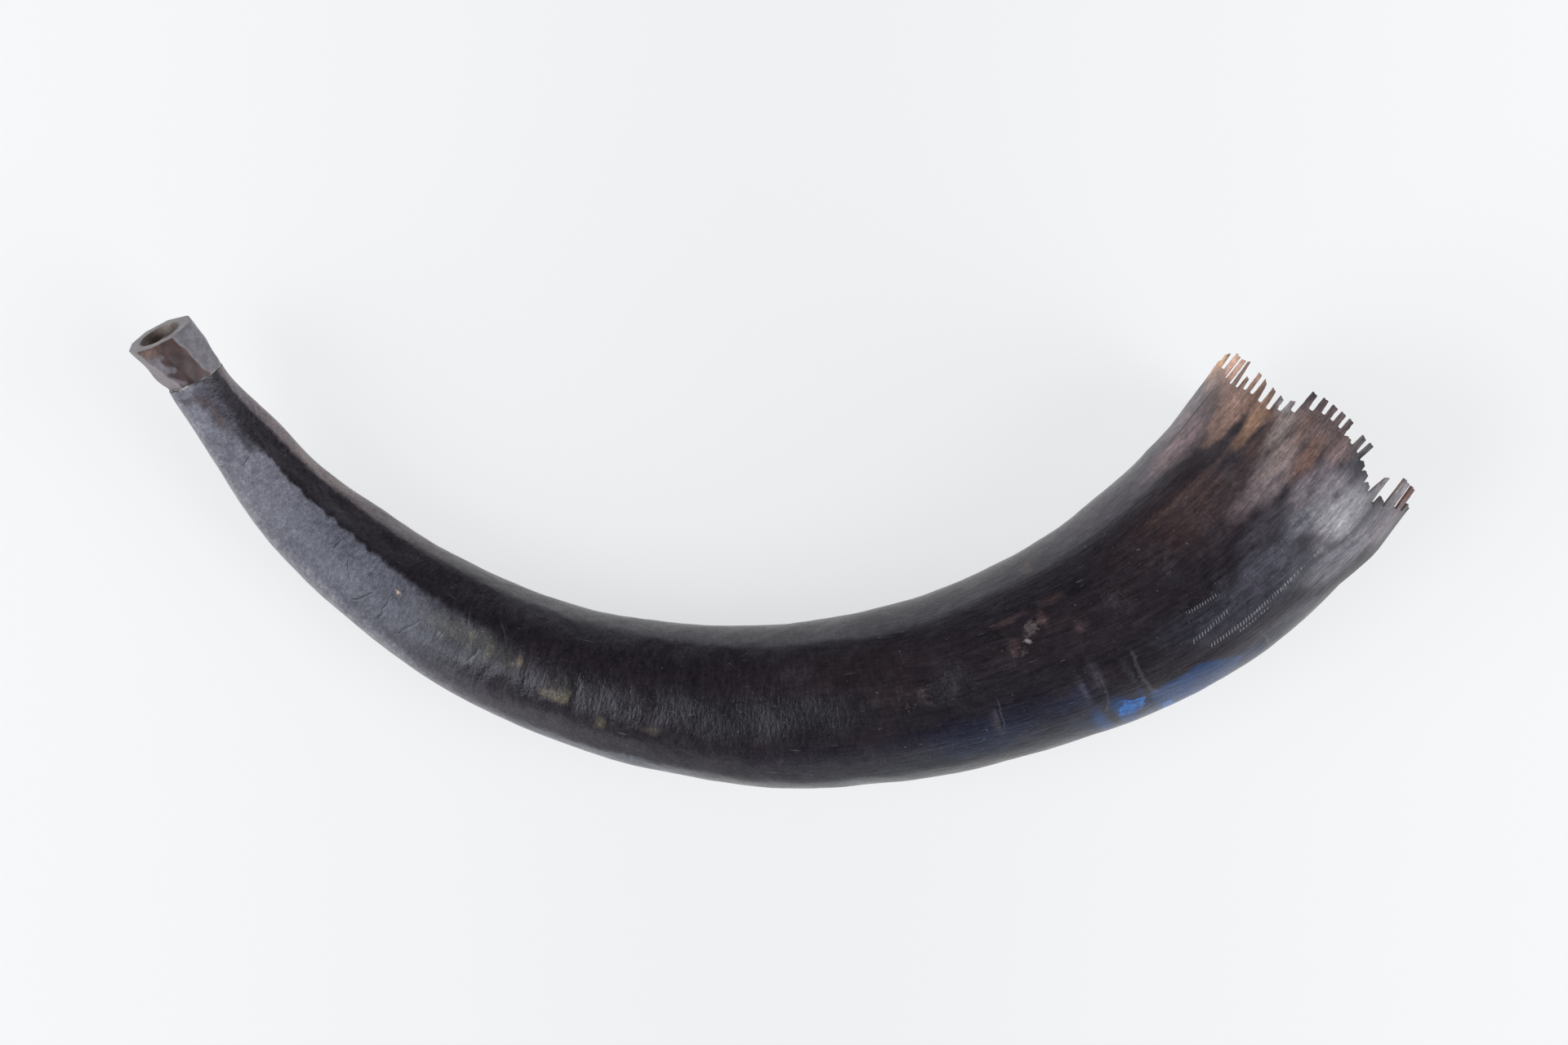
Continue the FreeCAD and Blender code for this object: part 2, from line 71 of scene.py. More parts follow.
# The comb: left and right edge of each saw slot (degrees), its floor (mm along
# the horn), and the tooth that follows it: angle and reach of its two tip
# corners. The side that faces the table is guessed from the side that shows.
COMB = [
    (13.25, 18.90, 515.6, 21.9, 524.3, 26.6, 523.7),
    (24.25, 26.00, 512.7, 28.75, 523.2, 32.25, 523.5),
    (30.40, 32.40, 511.5, 33.75, 523.4, 35.5, 524.2),
    (35.75, 37.75, 511.7, 38.9, 518.3, 41.0, 517.6),
    (41.00, 43.25, 512.7, 44.1, 522.4, 46.5, 521.8),
    (46.00, 48.25, 512.9, 49.4, 521.4, 51.75, 519.8),
    (52.40, 54.75, 512.0, 55.5, 520.2, 58.0, 519.2),
    (58.25, 60.50, 511.4, 61.0, 519.2, 63.5, 518.2),
    (63.50, 65.50, 513.6, 66.5, 519.4, 68.9, 520.3),
    (69.10, 71.50, 516.3, 72.9, 527.2, 75.75, 526.6),
    (75.75, 78.00, 520.8, 78.5, 527.4, 81.5, 527.2),
    (81.60, 83.50, 522.1, 83.9, 527.3, 86.9, 526.8),
    (86.50, 88.40, 522.0, 89.0, 526.9, 91.75, 526.3),
    (91.40, 93.25, 521.3, 93.9, 526.4, 96.4, 525.8),
    (96.00, 97.00, 520.0, 98.0, 520.4, 100.2, 520.0),
    (100.40, 102.25, 519.0, 103.5, 524.1, 106.0, 523.2),
    (105.50, 107.00, 517.6, 108.5, 523.3, 111.0, 522.7),
    (109.25, 110.40, 516.0, 111.2, 516.6, 113.4, 515.4),
    (113.50, 114.50, 513.4, 115.2, 514.3, 118.2, 513.2),
    (118.40, 119.60, 510.6, 120.2, 511.6, 122.9, 510.5),
    (123.10, 124.75, 509.2, 127.5, 516.4, 129.4, 517.2),
    (129.50, 131.60, 506.5, 132.4, 510.6, 136.8, 509.6),
    (137.10, 138.60, 508.2, 138.6, 520.3, 145.0, 519.5),
    (146.00, 150.00, 510.5, 148.4, 519.8, 153.2, 519.2),
    (155.00, 158.60, 511.2, 159.2, 514.6, 164.4, 513.8),
    (164.60, 166.50, 511.5, 167.0, 513.5, 170.6, 513.1),
    (170.90, 172.80, 512.2, 173.3, 514.0, 176.6, 513.4),
    (177.00, 178.90, 512.6, 179.5, 514.1, 183.0, 513.6),
    (183.30, 185.20, 512.0, 185.6, 513.6, 188.9, 513.2),
    (189.10, 191.00, 511.4, 191.3, 512.8, 194.7, 513.2),
    (194.90, 196.80, 510.8, 197.2, 512.4, 200.4, 512.0),
    (200.60, 202.50, 509.8, 202.8, 511.2, 206.2, 511.6),
    (206.50, 208.40, 508.6, 208.9, 510.4, 211.9, 509.8),
    (212.10, 214.00, 507.2, 214.4, 509.8, 217.2, 509.0),
    (217.50, 219.40, 505.9, 219.9, 508.5, 222.6, 507.6),
    (222.90, 224.80, 505.2, 224.6, 508.2, 227.2, 508.8),
    (228.00, 230.00, 504.4, 230.4, 507.3, 233.2, 506.5),
    (233.60, 235.50, 503.6, 235.7, 506.2, 238.9, 506.8),
    (239.00, 240.80, 503.0, 241.2, 506.6, 244.1, 506.0),
    (244.30, 246.20, 502.6, 246.6, 505.4, 249.5, 504.4),
    (249.90, 251.70, 502.2, 252.0, 511.1, 255.2, 510.4),
    (255.30, 257.10, 502.0, 257.6, 511.1, 260.5, 511.8),
    (260.80, 262.60, 501.8, 263.0, 510.3, 266.1, 509.4),
    (266.10, 268.00, 502.1, 268.4, 511.4, 271.6, 510.7),
    (271.70, 273.50, 502.4, 273.9, 504.8, 276.8, 503.9),
    (277.10, 279.00, 502.6, 279.2, 512.2, 282.3, 511.3),
    (282.40, 284.30, 503.0, 284.8, 510.0, 287.8, 510.8),
    (288.00, 289.80, 503.2, 290.2, 512.3, 293.2, 511.6),
    (293.30, 295.20, 503.8, 295.7, 506.5, 298.7, 505.6),
    (298.90, 300.80, 504.4, 301.1, 511.3, 304.4, 510.5),
    (304.40, 306.30, 505.0, 306.8, 511.9, 309.9, 512.5),
    (310.10, 312.00, 505.4, 312.4, 511.8, 315.5, 510.9),
    (315.70, 317.50, 506.0, 318.0, 508.7, 321.2, 507.7),
    (321.50, 323.40, 506.6, 323.8, 512.0, 327.2, 511.3),
    (327.40, 329.30, 507.4, 329.6, 512.1, 333.4, 512.8),
    (333.50, 335.40, 508.4, 335.8, 513.4, 339.5, 512.7),
    (339.70, 341.60, 509.8, 342.0, 514.5, 345.9, 513.7),
    (346.10, 348.00, 511.2, 348.4, 513.6, 352.3, 513.2),
    (352.50, 354.40, 512.6, 354.9, 514.8, 358.4, 515.4),
    (358.70, 360.60, 514.0, 360.7, 517.0, 365.0, 518.6),
    (365.30, 367.20, 515.2, 368.6, 521.4, 375.0, 523.0),
]

BODY_END = 494.0  # where the plain body grid meets the comb's own grid, mm
MM = 0.001
rng = np.random.default_rng(20)


# ---------------------------------------------------------------------------
# Curves
# ---------------------------------------------------------------------------
class Spline:
    """Cubic spline through (x, y) that is smooth past its ends' neighbours."""

    def __init__(self, x, y):
        x = np.asarray(x, float)
        y = np.asarray(y, float)
        y = y.reshape(len(x), -1)
        n = len(x)
        h = np.diff(x)
        A = np.zeros((n, n))
        r = np.zeros((n, y.shape[1]))
        for i in range(1, n - 1):
            A[i, i - 1] = h[i - 1]
            A[i, i] = 2 * (h[i - 1] + h[i])
            A[i, i + 1] = h[i]
            r[i] = 6 * ((y[i + 1] - y[i]) / h[i] - (y[i] - y[i - 1]) / h[i - 1])
        A[0, :3] = -1 / h[0], 1 / h[0] + 1 / h[1], -1 / h[1]
        A[-1, -3:] = -1 / h[-2], 1 / h[-2] + 1 / h[-1], -1 / h[-1]
        self.m = np.linalg.solve(A, r)
        self.x, self.y, self.h = x, y, h

    def __call__(self, t):
        t = np.asarray(t, float)
        i = np.clip(np.searchsorted(self.x, t) - 1, 0, len(self.h) - 1)
        h = self.h[i][..., None]
        a = (self.x[i + 1] - t)[..., None] / h
        b = (t - self.x[i])[..., None] / h
        v = (
            a * self.y[i]
            + b * self.y[i + 1]
            + ((a**3 - a) * self.m[i] + (b**3 - b) * self.m[i + 1]) * h * h / 6
        )
        return v[..., 0] if v.shape[-1] == 1 else v


ST = np.array(STATIONS)
centre = Spline(ST[:, 0], ST[:, 1:4])
heading = Spline(ST[:, 0], np.radians(ST[:, 4]))
slope = Spline(ST[:, 0], np.radians(ST[:, 5]))
half_w = Spline(ST[:, 0], ST[:, 6] / 2)
half_h = Spline(ST[:, 0], ST[:, 7] / 2)


def cavity(s):
    """Half width and half height of the cavity."""
    iw = np.interp(s, ST[:, 0], ST[:, 8])
    k = np.clip((iw - 9) / 60, 0, 1)
    w, h = 2 * half_w(s), 2 * half_h(s)
    ih = iw * (1 - k) + (h - (w - iw)) * k
    return iw / 2, ih / 2


def axes(s):
    hd, sl = heading(s), slope(s)
    T = np.stack([np.cos(sl) * np.cos(hd), np.cos(sl) * np.sin(hd), np.sin(sl)], -1)
    N = np.stack([-np.sin(hd), np.cos(hd), 0 * hd], -1)
    return T, N, np.cross(T, N)


def waves(n, s_len, m_max, seed, s_min=None):
    """A smooth random field over the horn, closed round the section, about -1 to 1."""
    r = np.random.default_rng(seed)
    k = 2 * np.pi / s_len * r.uniform(0.35, 1.0, n) * np.where(r.random(n) < 0.5, -1, 1)
    m = r.integers(0 if s_min is None else s_min, m_max + 1, n)
    ph = r.uniform(0, 2 * np.pi, n)
    am = r.uniform(0.6, 1.0, n)
    am /= math.sqrt((am**2).sum() / 2)

    def f(s, th):
        out = np.zeros(np.broadcast(s, th).shape)
        for i in range(n):
            out += am[i] * np.cos(k[i] * s + m[i] * th + ph[i])
        return out * 0.6

    return f


def bell(x, w):
    return np.exp(-((x / w) ** 2))


def wrap(a):
    return (a + 180.0) % 360.0 - 180.0


def step(x, a, b):
    t = np.clip((x - a) / (b - a), 0, 1)
    return t * t * (3 - 2 * t)


cross = waves(70, 7, 7, 46)
cross_b = waves(60, 3.6, 12, 47)
blotch_a = waves(40, 34, 8, 41)
blotch_b = waves(50, 14, 18, 42)
blotch_c = waves(60, 6, 40, 43, 4)
streak_a = waves(60, 90, 40, 44, 6)
streak_b = waves(60, 46, 80, 45, 20)

dents = waves(26, 62, 4, 5)
ripples = waves(40, 22, 9, 6)
fine = waves(60, 8, 26, 7, 3)
bark_warp = waves(24, 40, 5, 8)
bark_mask = waves(24, 28, 7, 9)
wrinkle_warp = waves(24, 18, 10, 10)

# Small bumps and hollows of the outline, mm, on the outer and the inner side.
OUTER_SIDE = [(0, 0.25), (14, 0), (212, 0.1), (224, 0.22), (256, 0.32), (272, 0.4), (288, 0), (304, -0.22),
              (320, 0.3), (336, 0.6), (352, 0.1), (384, 0.2), (400, 0.6), (420, 0.1), (464, 0), (480, -0.6),
              (496, 0.8), (512, -0.2), (528, 0)]
INNER_SIDE = [(0, -0.25), (14, 0), (240, 0), (256, 0.2), (280, 0), (320, 0), (336, -0.25), (352, 0), (388, 0),
              (400, -0.2), (416, 0), (432, 0.3), (448, -0.22), (464, 0.25), (480, -0.15), (500, 0)]


def crest(s, th):
    """Angle of the scraped crest that parts the broad outer flat from the top."""
    return 71 + 5 * step(s, 80, 135) + 9 * (1 - step(s, 30, 41)) + 1.2 * blotch_a(s, th)


def relief(s, th):
    """How far the outside stands off the plain oval, in mm."""
    s, th = np.broadcast_arrays(np.asarray(s, float), np.asarray(th, float))
    deg = np.degrees(th)
    end = 1 - step(s, 500, 515) * 0.75
    tip = step(s, 0, 10)
    d = 0.30 * dents(s, th) * tip * end
    d = d + 0.13 * ripples(s, th) * tip * end
    d = d + 0.035 * fine(s, th) * end
    c, sn = np.cos(th), np.sin(th)
    out = np.interp(s, *zip(*OUTER_SIDE))
    inn = np.interp(s, *zip(*INNER_SIDE))
    d = d + out * np.clip(-c, 0, 1) ** 2 + inn * np.clip(c, 0, 1) ** 2
    # the scraped tip half: a soft crest where the broad outer flat meets the top
    k = step(s, 8, 34) * (1 - step(s, 120, 190))
    e = wrap(deg - crest(s, th))
    d = d + k * (0.80 - 0.075 * np.sqrt(e * e + 1.5)) * bell(e, 24)
    # the boundary between the top and the strip along the inner side
    e = wrap(deg - (35 + 9 * step(s, 180, 330) + 2.0 * blotch_b(s, th)))
    q = 1 - step(s, 430, 480)
    d = d + q * step(s, 4, 30) * (0.42 - 0.042 * np.sqrt(e * e + 2.5)) * bell(e, 18)
    # and along the outer side, low down
    e = wrap(deg - (151 + 2.0 * blotch_b(s, th)))
    q = step(s, 170, 210) * (1 - step(s, 330, 380))
    d = d + q * (0.36 - 0.040 * np.sqrt(e * e + 2.5)) * bell(e, 16)
    # the stained facet's edge and the crease before it
    e = wrap(deg - 139)
    q = step(s, 407, 411) * (1 - step(s, 434, 446))
    d = d + q * (0.5 - 0.06 * np.sqrt(e * e + 1.5)) * bell(e, 14)
    for s0, w0, t0, t1, amp in CREASES:
        d = d + amp * bell(s - s0 - 0.05 * wrap(deg - 120), w0) * step(deg, t0 - 8, t0 + 4) * (1 - step(deg, t1 - 4, t1 + 8))
    e = wrap(deg - 152)
    d = d + k * (0.42 - 0.045 * np.sqrt(e * e + 9)) * bell(e, 22)
    d = d - k * 0.45 * bell(wrap(deg - 112), 26)
    d = d - step(s, 4, 20) * (1 - step(s, 30, 60)) * 0.35 * bell(wrap(deg - 40), 22)
    # bark-like scales that cross the outer side
    z = bell(wrap(deg - 112), 30) * step(s, 74, 88) * (1 - step(s, 150, 176))
    ph = (s + 3.4 * bark_warp(s, th) + 0.05 * wrap(deg - 105)) / 5.6
    saw = ph - np.floor(ph)
    scale = np.where(saw < 0.7, saw / 0.7, (1 - saw) / 0.3) - 0.5
    d = d + z * 0.34 * scale * np.clip(0.35 + 0.9 * bark_mask(s, th), 0, 1.1)
    z = bell(wrap(deg - 100), 26) * step(s, 150, 164) * (1 - step(s, 222, 246))
    ph = (s + 4.5 * bark_warp(s, th) + 0.04 * wrap(deg - 105)) / 9.5
    saw = ph - np.floor(ph)
    scale = np.where(saw < 0.6, saw / 0.6, (1 - saw) / 0.4) - 0.5
    d = d + z * 0.30 * scale * np.clip(0.35 + 0.8 * bark_mask(s, th), 0, 1.0)
    # long shallow dishes along the belly and the middle
    for s0, t0, ls, lt, a in DISHES:
        d = d + a * bell(s - s0, ls) * bell(wrap(deg - t0), lt)
    # diagonal wrinkles by the bell
    z = step(s, 436, 470) * (1 - step(s, 506, 518)) * bell(wrap(deg - 122), 30)
    ph = (s * 0.75 + 0.62 * wrap(deg - 120) + 2.2 * wrinkle_warp(s, th)) / 4.2
    d = d + z * 0.10 * np.sin(2 * np.pi * ph) * np.clip(0.5 + 0.8 * bark_mask(s * 1.3, th), 0, 1)
    return d


DISHES = [
    (52, 118, 16, 22, -0.35),
    (86, 122, 14, 20, -0.30),
    (118, 128, 12, 20, -0.35),
    (134, 84, 9, 14, 0.45),
    (152, 92, 8, 13, -0.45),
    (163, 100, 7, 13, 0.4),
    (172, 86, 7, 12, -0.35),
    (186, 104, 9, 12, 0.35),
    (203, 98, 9, 14, -0.40),
    (214, 84, 8, 14, 0.35),
    (228, 92, 9, 16, -0.40),
    (243, 82, 9, 16, 0.30),
    (262, 90, 12, 20, -0.35),
    (300, 80, 16, 22, 0.30),
    (330, 100, 14, 18, -0.30),
    (352, 92, 12, 14, 0.25),
    (368, 112, 11, 14, -0.35),
    (384, 108, 8, 10, 0.4),
    (396, 116, 7, 9, -0.5),
    (408, 128, 6, 6, 0.45),
    (416, 104, 11, 12, -0.35),
    (470, 100, 16, 14, -0.45),
    (487, 104.5, 2.2, 1.6, -0.45),
    (492, 126, 9, 8, 0.4),
    (501, 112, 9, 7, -0.3),
    (452, 150, 14, 9, -0.5),
    (474, 154, 10, 8, 0.5),
    (430, 148, 12, 8, 0.45),
    (404, 146, 10, 9, -0.4),
]


CREASES = [
    (407.5, 1.9, 112, 150, -0.40),
    (403.5, 1.9, 116, 150, 0.25),
    (397, 2.2, 108, 134, -0.25),
    (391, 2.6, 104, 138, 0.28),
    (386, 2.2, 116, 140, -0.22),
    (38, 2.4, 70, 112, -0.22),
    (42, 2.6, 70, 118, 0.22),
    (66, 2.6, 74, 104, -0.22),
    (83, 2.0, 80, 126, -0.2),
    (104, 1.8, 96, 130, 0.2),
    (155, 1.8, 96, 118, 0.3),
    (175.5, 1.8, 80, 106, 0.25),
    (198, 2.2, 92, 122, -0.25),
    (449, 1.8, 140, 168, -0.25),
]


def skin(s, th, rough=1.0):
    """A point of the outside."""
    s, th = np.broadcast_arrays(np.asarray(s, float), np.asarray(th, float))
    T, N, B = axes(s)
    a, b = half_w(s), half_h(s)
    c, sn = np.cos(th), np.sin(th)
    nx, ny = c / a, sn / b
    q = np.sqrt(nx * nx + ny * ny)
    d = relief(s, th) * rough
    return centre(s) + (a * c + d * nx / q)[..., None] * N + (b * sn + d * ny / q)[..., None] * B


def thinned(s, th):
    """How far the wall is scraped thin at the rim, on the inner side of the curve."""
    return 0.58 * step(s, 503, 513) * (1 - step(np.abs(wrap(np.degrees(th) - 22)), 34, 50))


def wall(s, th):
    """A point of the inside."""
    s, th = np.broadcast_arrays(np.asarray(s, float), np.asarray(th, float))
    T, N, B = axes(s)
    a, b = cavity(s)
    k = thinned(s, th)
    a, b = a + (half_w(s) - a) * k, b + (half_h(s) - b) * k
    return centre(s) + (a * np.cos(th))[..., None] * N + (b * np.sin(th))[..., None] * B


# ---------------------------------------------------------------------------
# Mesh building
# ---------------------------------------------------------------------------
class Builder:
    def __init__(self):
        self.co, self.face, self.uv, self.data = [], [], [], []
        self.n = 0

    def add(self, pts, data):
        """pts (k,3) mm; data (k,4): along, cos, sin, inside flag. Returns the first index."""
        i = self.n
        self.co.append(np.asarray(pts, float).reshape(-1, 3))
        self.data.append(np.asarray(data, float).reshape(-1, data.shape[-1]))
        self.n += len(self.co[-1])
        return i

    def quads(self, a, b, c, d, ua, ub, uc, ud):
        for q in zip(a, b, c, d, ua, ub, uc, ud):
            self.face.append(q[:4])
            self.uv.append(q[4:])

    def tri(self, v, u):
        self.face.append(tuple(v))
        self.uv.append(tuple(u))


def make(name, b, fields):
    co = np.vstack(b.co) * MM
    co[:, 2] = np.maximum(co[:, 2], 0.00002)
    me = bpy.data.meshes.new(name)
    me.from_pydata([tuple(p) for p in co], [], [tuple(int(i) for i in f) for f in b.face])
    me.update()
    uvl = me.uv_layers.new(name="OFBake")
    flat = np.array([c for f in b.uv for c in f], np.float32).reshape(-1)
    uvl.data.foreach_set("uv", flat)
    for nm, arr in fields.items():
        at = me.attributes.new(nm, "FLOAT_COLOR", "POINT")
        arr = np.asarray(arr, np.float32)
        if arr.shape[1] == 3:
            arr = np.hstack([arr, np.ones((len(arr), 1), np.float32)])
        at.data.foreach_set("color", arr.reshape(-1))
    me.shade_smooth()
    me.set_sharp_from_angle(angle=math.radians(34))
    if me.validate(verbose=True):
        print("mesh", name, "was changed by validate")
    ob = bpy.data.objects.new(name, me)
    bpy.context.scene.collection.objects.link(ob)
    return ob


TAU = 2 * math.pi


def build_horn():
    b = Builder()

    def pack(s, th, inside):
        s, th, inside = np.broadcast_arrays(
            np.asarray(s, float), np.asarray(th, float), np.asarray(inside, float))
        return np.stack([s, np.cos(th), np.sin(th), inside], -1).reshape(-1, 4)

    # outer body grid
    NC = 176
    rows = np.concatenate([np.arange(0, 8, 1.0), np.arange(8, 74, 1.5), np.arange(74, 216, 1.0), np.arange(216, BODY_END - 0.5, 1.5), [BODY_END]])
    th = np.arange(NC) * TAU / NC
    S, H = np.meshgrid(rows, th, indexing="ij")
    body = b.add(skin(S, H), pack(S, H, 0)) + np.arange(len(rows) * NC).reshape(len(rows), NC)

    def vrow(s):
        return 0.62 * s / 530.0

    ar = np.arange(NC)
    nx = (ar + 1) % NC
    for i in range(len(rows) - 1):
        v0, v1 = vrow(rows[i]), vrow(rows[i + 1])
        b.quads(body[i, ar], body[i, nx], body[i + 1, nx], body[i + 1, ar],
                [(j / NC, v0) for j in ar], [((j + 1) / NC, v0) for j in ar],
                [((j + 1) / NC, v1) for j in ar], [(j / NC, v1) for j in ar])

    # comb columns
    cols = []  # outer angle (deg), root station, tooth number or -1, slot number or -1
    n = len(COMB)
    teeth = []
    r2 = np.random.default_rng(31)
    for k in range(n):
        tl, tr, fl = COMB[k][:3]
        nl = COMB[(k + 1) % n][0] + (360 if k == n - 1 else 0)
        fn = COMB[(k + 1) % n][2]
        up = 0.32
        for f, e in ((0, up), (0.25, 0.07), (0.5, 0.0), (0.75, 0.06)):
            cols.append((tl + (tr - tl) * f, fl + e * (0.8 + 0.4 * r2.random()), k, -1))
        for f in (0, 0.25, 0.5, 0.75):
            root = (fl + up) * (1 - f) + (fn + up) * f
            cols.append((tr + (nl - tr) * f, root, -1 if f else k, k))
        teeth.append((tr, nl) + tuple(COMB[k][3:]))
    C = len(cols)
    deg_o = np.array([c[0] for c in cols])
    root = np.array([c[1] for c in cols])
    # slots are sawn nearly upright on the side that shows, square to the wall below
    m = np.array([c[0] for c in cols]) % 360
    upright = (m > 12) & (m < 160)
    blade = np.where(upright, 90 + (m - 90) * 0.35, m)
    a, h = half_w(root), half_h(root)
    ia, ih = cavity(root)
    k = thinned(root, np.radians(deg_o))
    ia, ih = ia + (a - ia) * k, ih + (h - ih) * k
    to = np.radians(deg_o)
    px, py = a * np.cos(to), h * np.sin(to)
    bx, by = np.cos(np.radians(blade)), np.sin(np.radians(blade))
    # where the line through the outer point along the blade meets the cavity oval
    A = (bx / ia) ** 2 + (by / ih) ** 2
    Bq = px * bx / ia**2 + py * by / ih**2
    Cq = (px / ia) ** 2 + (py / ih) ** 2 - 1
    disc = np.maximum(Bq * Bq - A * Cq, 0)
    t = (-Bq + np.sqrt(disc)) / A
    qx, qy = px + t * bx, py + t * by
    ti = np.degrees(np.arctan2(qy / ih, qx / ia))
    shift = wrap(ti - deg_o)
    shift = np.where(disc <= 0, 0, np.clip(shift, -4.5, 4.5))
    # keep the inner columns in order
    deg_i = deg_o + shift
    for _ in range(3):
        for j in range(1, C):
            if deg_i[j] < deg_i[j - 1] + 0.12:
                deg_i[j] = deg_i[j - 1] + 0.12

    KA = 7
    tt = np.linspace(0, 1, KA)

    def zone_a(deg, inside, fn):
        Sg = BODY_END + (root[None, :] - BODY_END) * tt[:, None]
        base = deg_o if not inside else deg_i
        D = np.repeat(base[None, :], KA, 0)
        idx = b.add(fn(Sg, np.radians(D)), pack(Sg, np.radians(D), inside))
        return idx + np.arange(KA * C).reshape(KA, C), Sg

    za_o, Sa = zone_a(deg_o, 0, skin)
    za_i, _ = zone_a(deg_i, 1, wall)

    def uo(deg, s):
        return ((deg - deg_o[0]) / 360.0 * 0.998 + 0.001, vrow(s))

    def ui(deg, s):
        return ((deg - deg_o[0]) / 360.0 * 0.998 + 0.001, 0.64 + 0.34 * s / 530.0)

    for j in range(C):
        j2 = (j + 1) % C
        dj2 = deg_o[j2] + (360 if j2 == 0 else 0)
        ij2 = deg_i[j2] + (360 if j2 == 0 else 0)
        for i in range(KA - 1):
            b.face.append((za_o[i, j], za_o[i, j2], za_o[i + 1, j2], za_o[i + 1, j]))
            b.uv.append((uo(deg_o[j], Sa[i, j]), uo(dj2, Sa[i, j2]), uo(dj2, Sa[i + 1, j2]), uo(deg_o[j], Sa[i + 1, j])))
            b.face.append((za_i[i, j2], za_i[i, j], za_i[i + 1, j], za_i[i + 1, j2]))
            b.uv.append((ui(ij2, Sa[i, j2]), ui(deg_i[j], Sa[i, j]), ui(deg_i[j], Sa[i + 1, j]), ui(ij2, Sa[i + 1, j2])))

    def stitch(ra, aa, rb, ab, ua, ub, flip):
        """Triangles between two closed rings; aa and ab are the ring angles in degrees."""
        na, nb = len(ra), len(rb)
        i0 = int(np.argmin(np.abs(wrap(aa - ab[0]))))
        ra = np.roll(ra, -i0)
        aa = ab[0] + wrap(aa[i0] - ab[0]) + np.mod(np.roll(aa, -i0) - aa[i0], 360)
        i = j = 0
        while i < na or j < nb:
            xa = aa[i + 1] if i + 1 < na else aa[0] + 360
            xb = ab[j + 1] if j + 1 < nb else ab[0] + 360
            A0, A1 = ra[i % na], ra[(i + 1) % na]
            B0, B1 = rb[j % nb], rb[(j + 1) % nb]
            pa = aa[i] if i < na else aa[0] + 360
            pb = ab[j] if j < nb else ab[0] + 360
            if j >= nb or (i < na and xa <= xb):
                v, u = [A0, A1, B0], [ua(pa), ua(xa), ub(pb)]
                i += 1
            else:
                v, u = [A0, B1, B0], [ua(pa), ub(xb), ub(pb)]
                j += 1
            if flip:
                v, u = v[::-1], u[::-1]
            b.tri(v, u)

    stitch(body[-1], np.degrees(th), za_o[0], deg_o,
           lambda d: uo(d, BODY_END - 0.6), lambda d: uo(d, BODY_END), False)

    # teeth
    RB = 9
    for k, (tl, tr, d1, s1, d2, s2) in enumerate(teeth):
        j0 = k * 8 + 4
        js = [(j0 + q) % C for q in range(5)]
        span_o = np.array([deg_o[j] + (360 if (j0 + q) >= C else 0) for q, j in enumerate(js)])
        span_i = np.array([deg_i[j] + (360 if (j0 + q) >= C else 0) for q, j in enumerate(js)])
        sroot = root[js]
        f = np.linspace(0, 1, 5)
        lean = np.interp(f, [0, 1], [d1, d2])
        tip = np.interp(f, [0, 1], [s1, s2])
        length = tip.mean() - sroot.mean()
        # broken tips are a little ragged
        tip = tip + np.array([0, 1, -0.6, 0.8, 0]) * 0.16 * r2.uniform(0.4, 1.4) + r2.uniform(-0.08, 0.08, 5)
        tip = np.maximum(tip, sroot + 0.25)
        g = np.linspace(0, 1, RB)[1:]
        bow = r2.uniform(-0.12, 0.12) * min(1, length / 8)
        Dg = span_o[None, :] + (lean - span_o)[None, :] * (g[:, None] ** 1.0) + bow * np.sin(np.pi * g)[:, None]
        Di = span_i[None, :] + (lean + (span_i - span_o) * 0.9 - span_i)[None, :] * g[:, None] + bow * np.sin(np.pi * g)[:, None]
        Sg = sroot[None, :] + (tip - sroot)[None, :] * g[:, None]
        Sgi = sroot[None, :] + (tip + r2.uniform(-0.35, 0.15) - sroot)[None, :] * g[:, None]
        # saw marks make the sides slightly uneven
        jag = r2.normal(0, 0.05, (RB - 1, 2))
        Dg[:, 0] += jag[:, 0]
        Dg[:, -1] += jag[:, 1]
        Di[:, 0] += jag[:, 0]
        Di[:, -1] += jag[:, 1]
        vo = b.add(skin(Sg, np.radians(Dg)), pack(Sg, np.radians(Dg), 0)) + np.arange((RB - 1) * 5).reshape(RB - 1, 5)
        vi = b.add(wall(Sgi, np.radians(Di)), pack(Sgi, np.radians(Di), 1)) + np.arange((RB - 1) * 5).reshape(RB - 1, 5)
        vo = np.vstack([za_o[-1, js], vo])
        vi = np.vstack([za_i[-1, js], vi])
        Su = np.vstack([sroot, Sg])
        Du = np.vstack([span_o, Dg])
        Dv = np.vstack([span_i, Di])
        for i in range(RB - 1):
            for q in range(4):
                b.face.append((vo[i, q], vo[i, q + 1], vo[i + 1, q + 1], vo[i + 1, q]))
                b.uv.append((uo(Du[i, q], Su[i, q]), uo(Du[i, q + 1], Su[i, q + 1]), uo(Du[i + 1, q + 1], Su[i + 1, q + 1]), uo(Du[i + 1, q], Su[i + 1, q])))
                b.face.append((vi[i, q + 1], vi[i, q], vi[i + 1, q], vi[i + 1, q + 1]))
                b.uv.append((ui(Dv[i, q + 1], Su[i, q + 1]), ui(Dv[i, q], Su[i, q]), ui(Dv[i + 1, q], Su[i + 1, q]), ui(Dv[i + 1, q + 1], Su[i + 1, q + 1])))
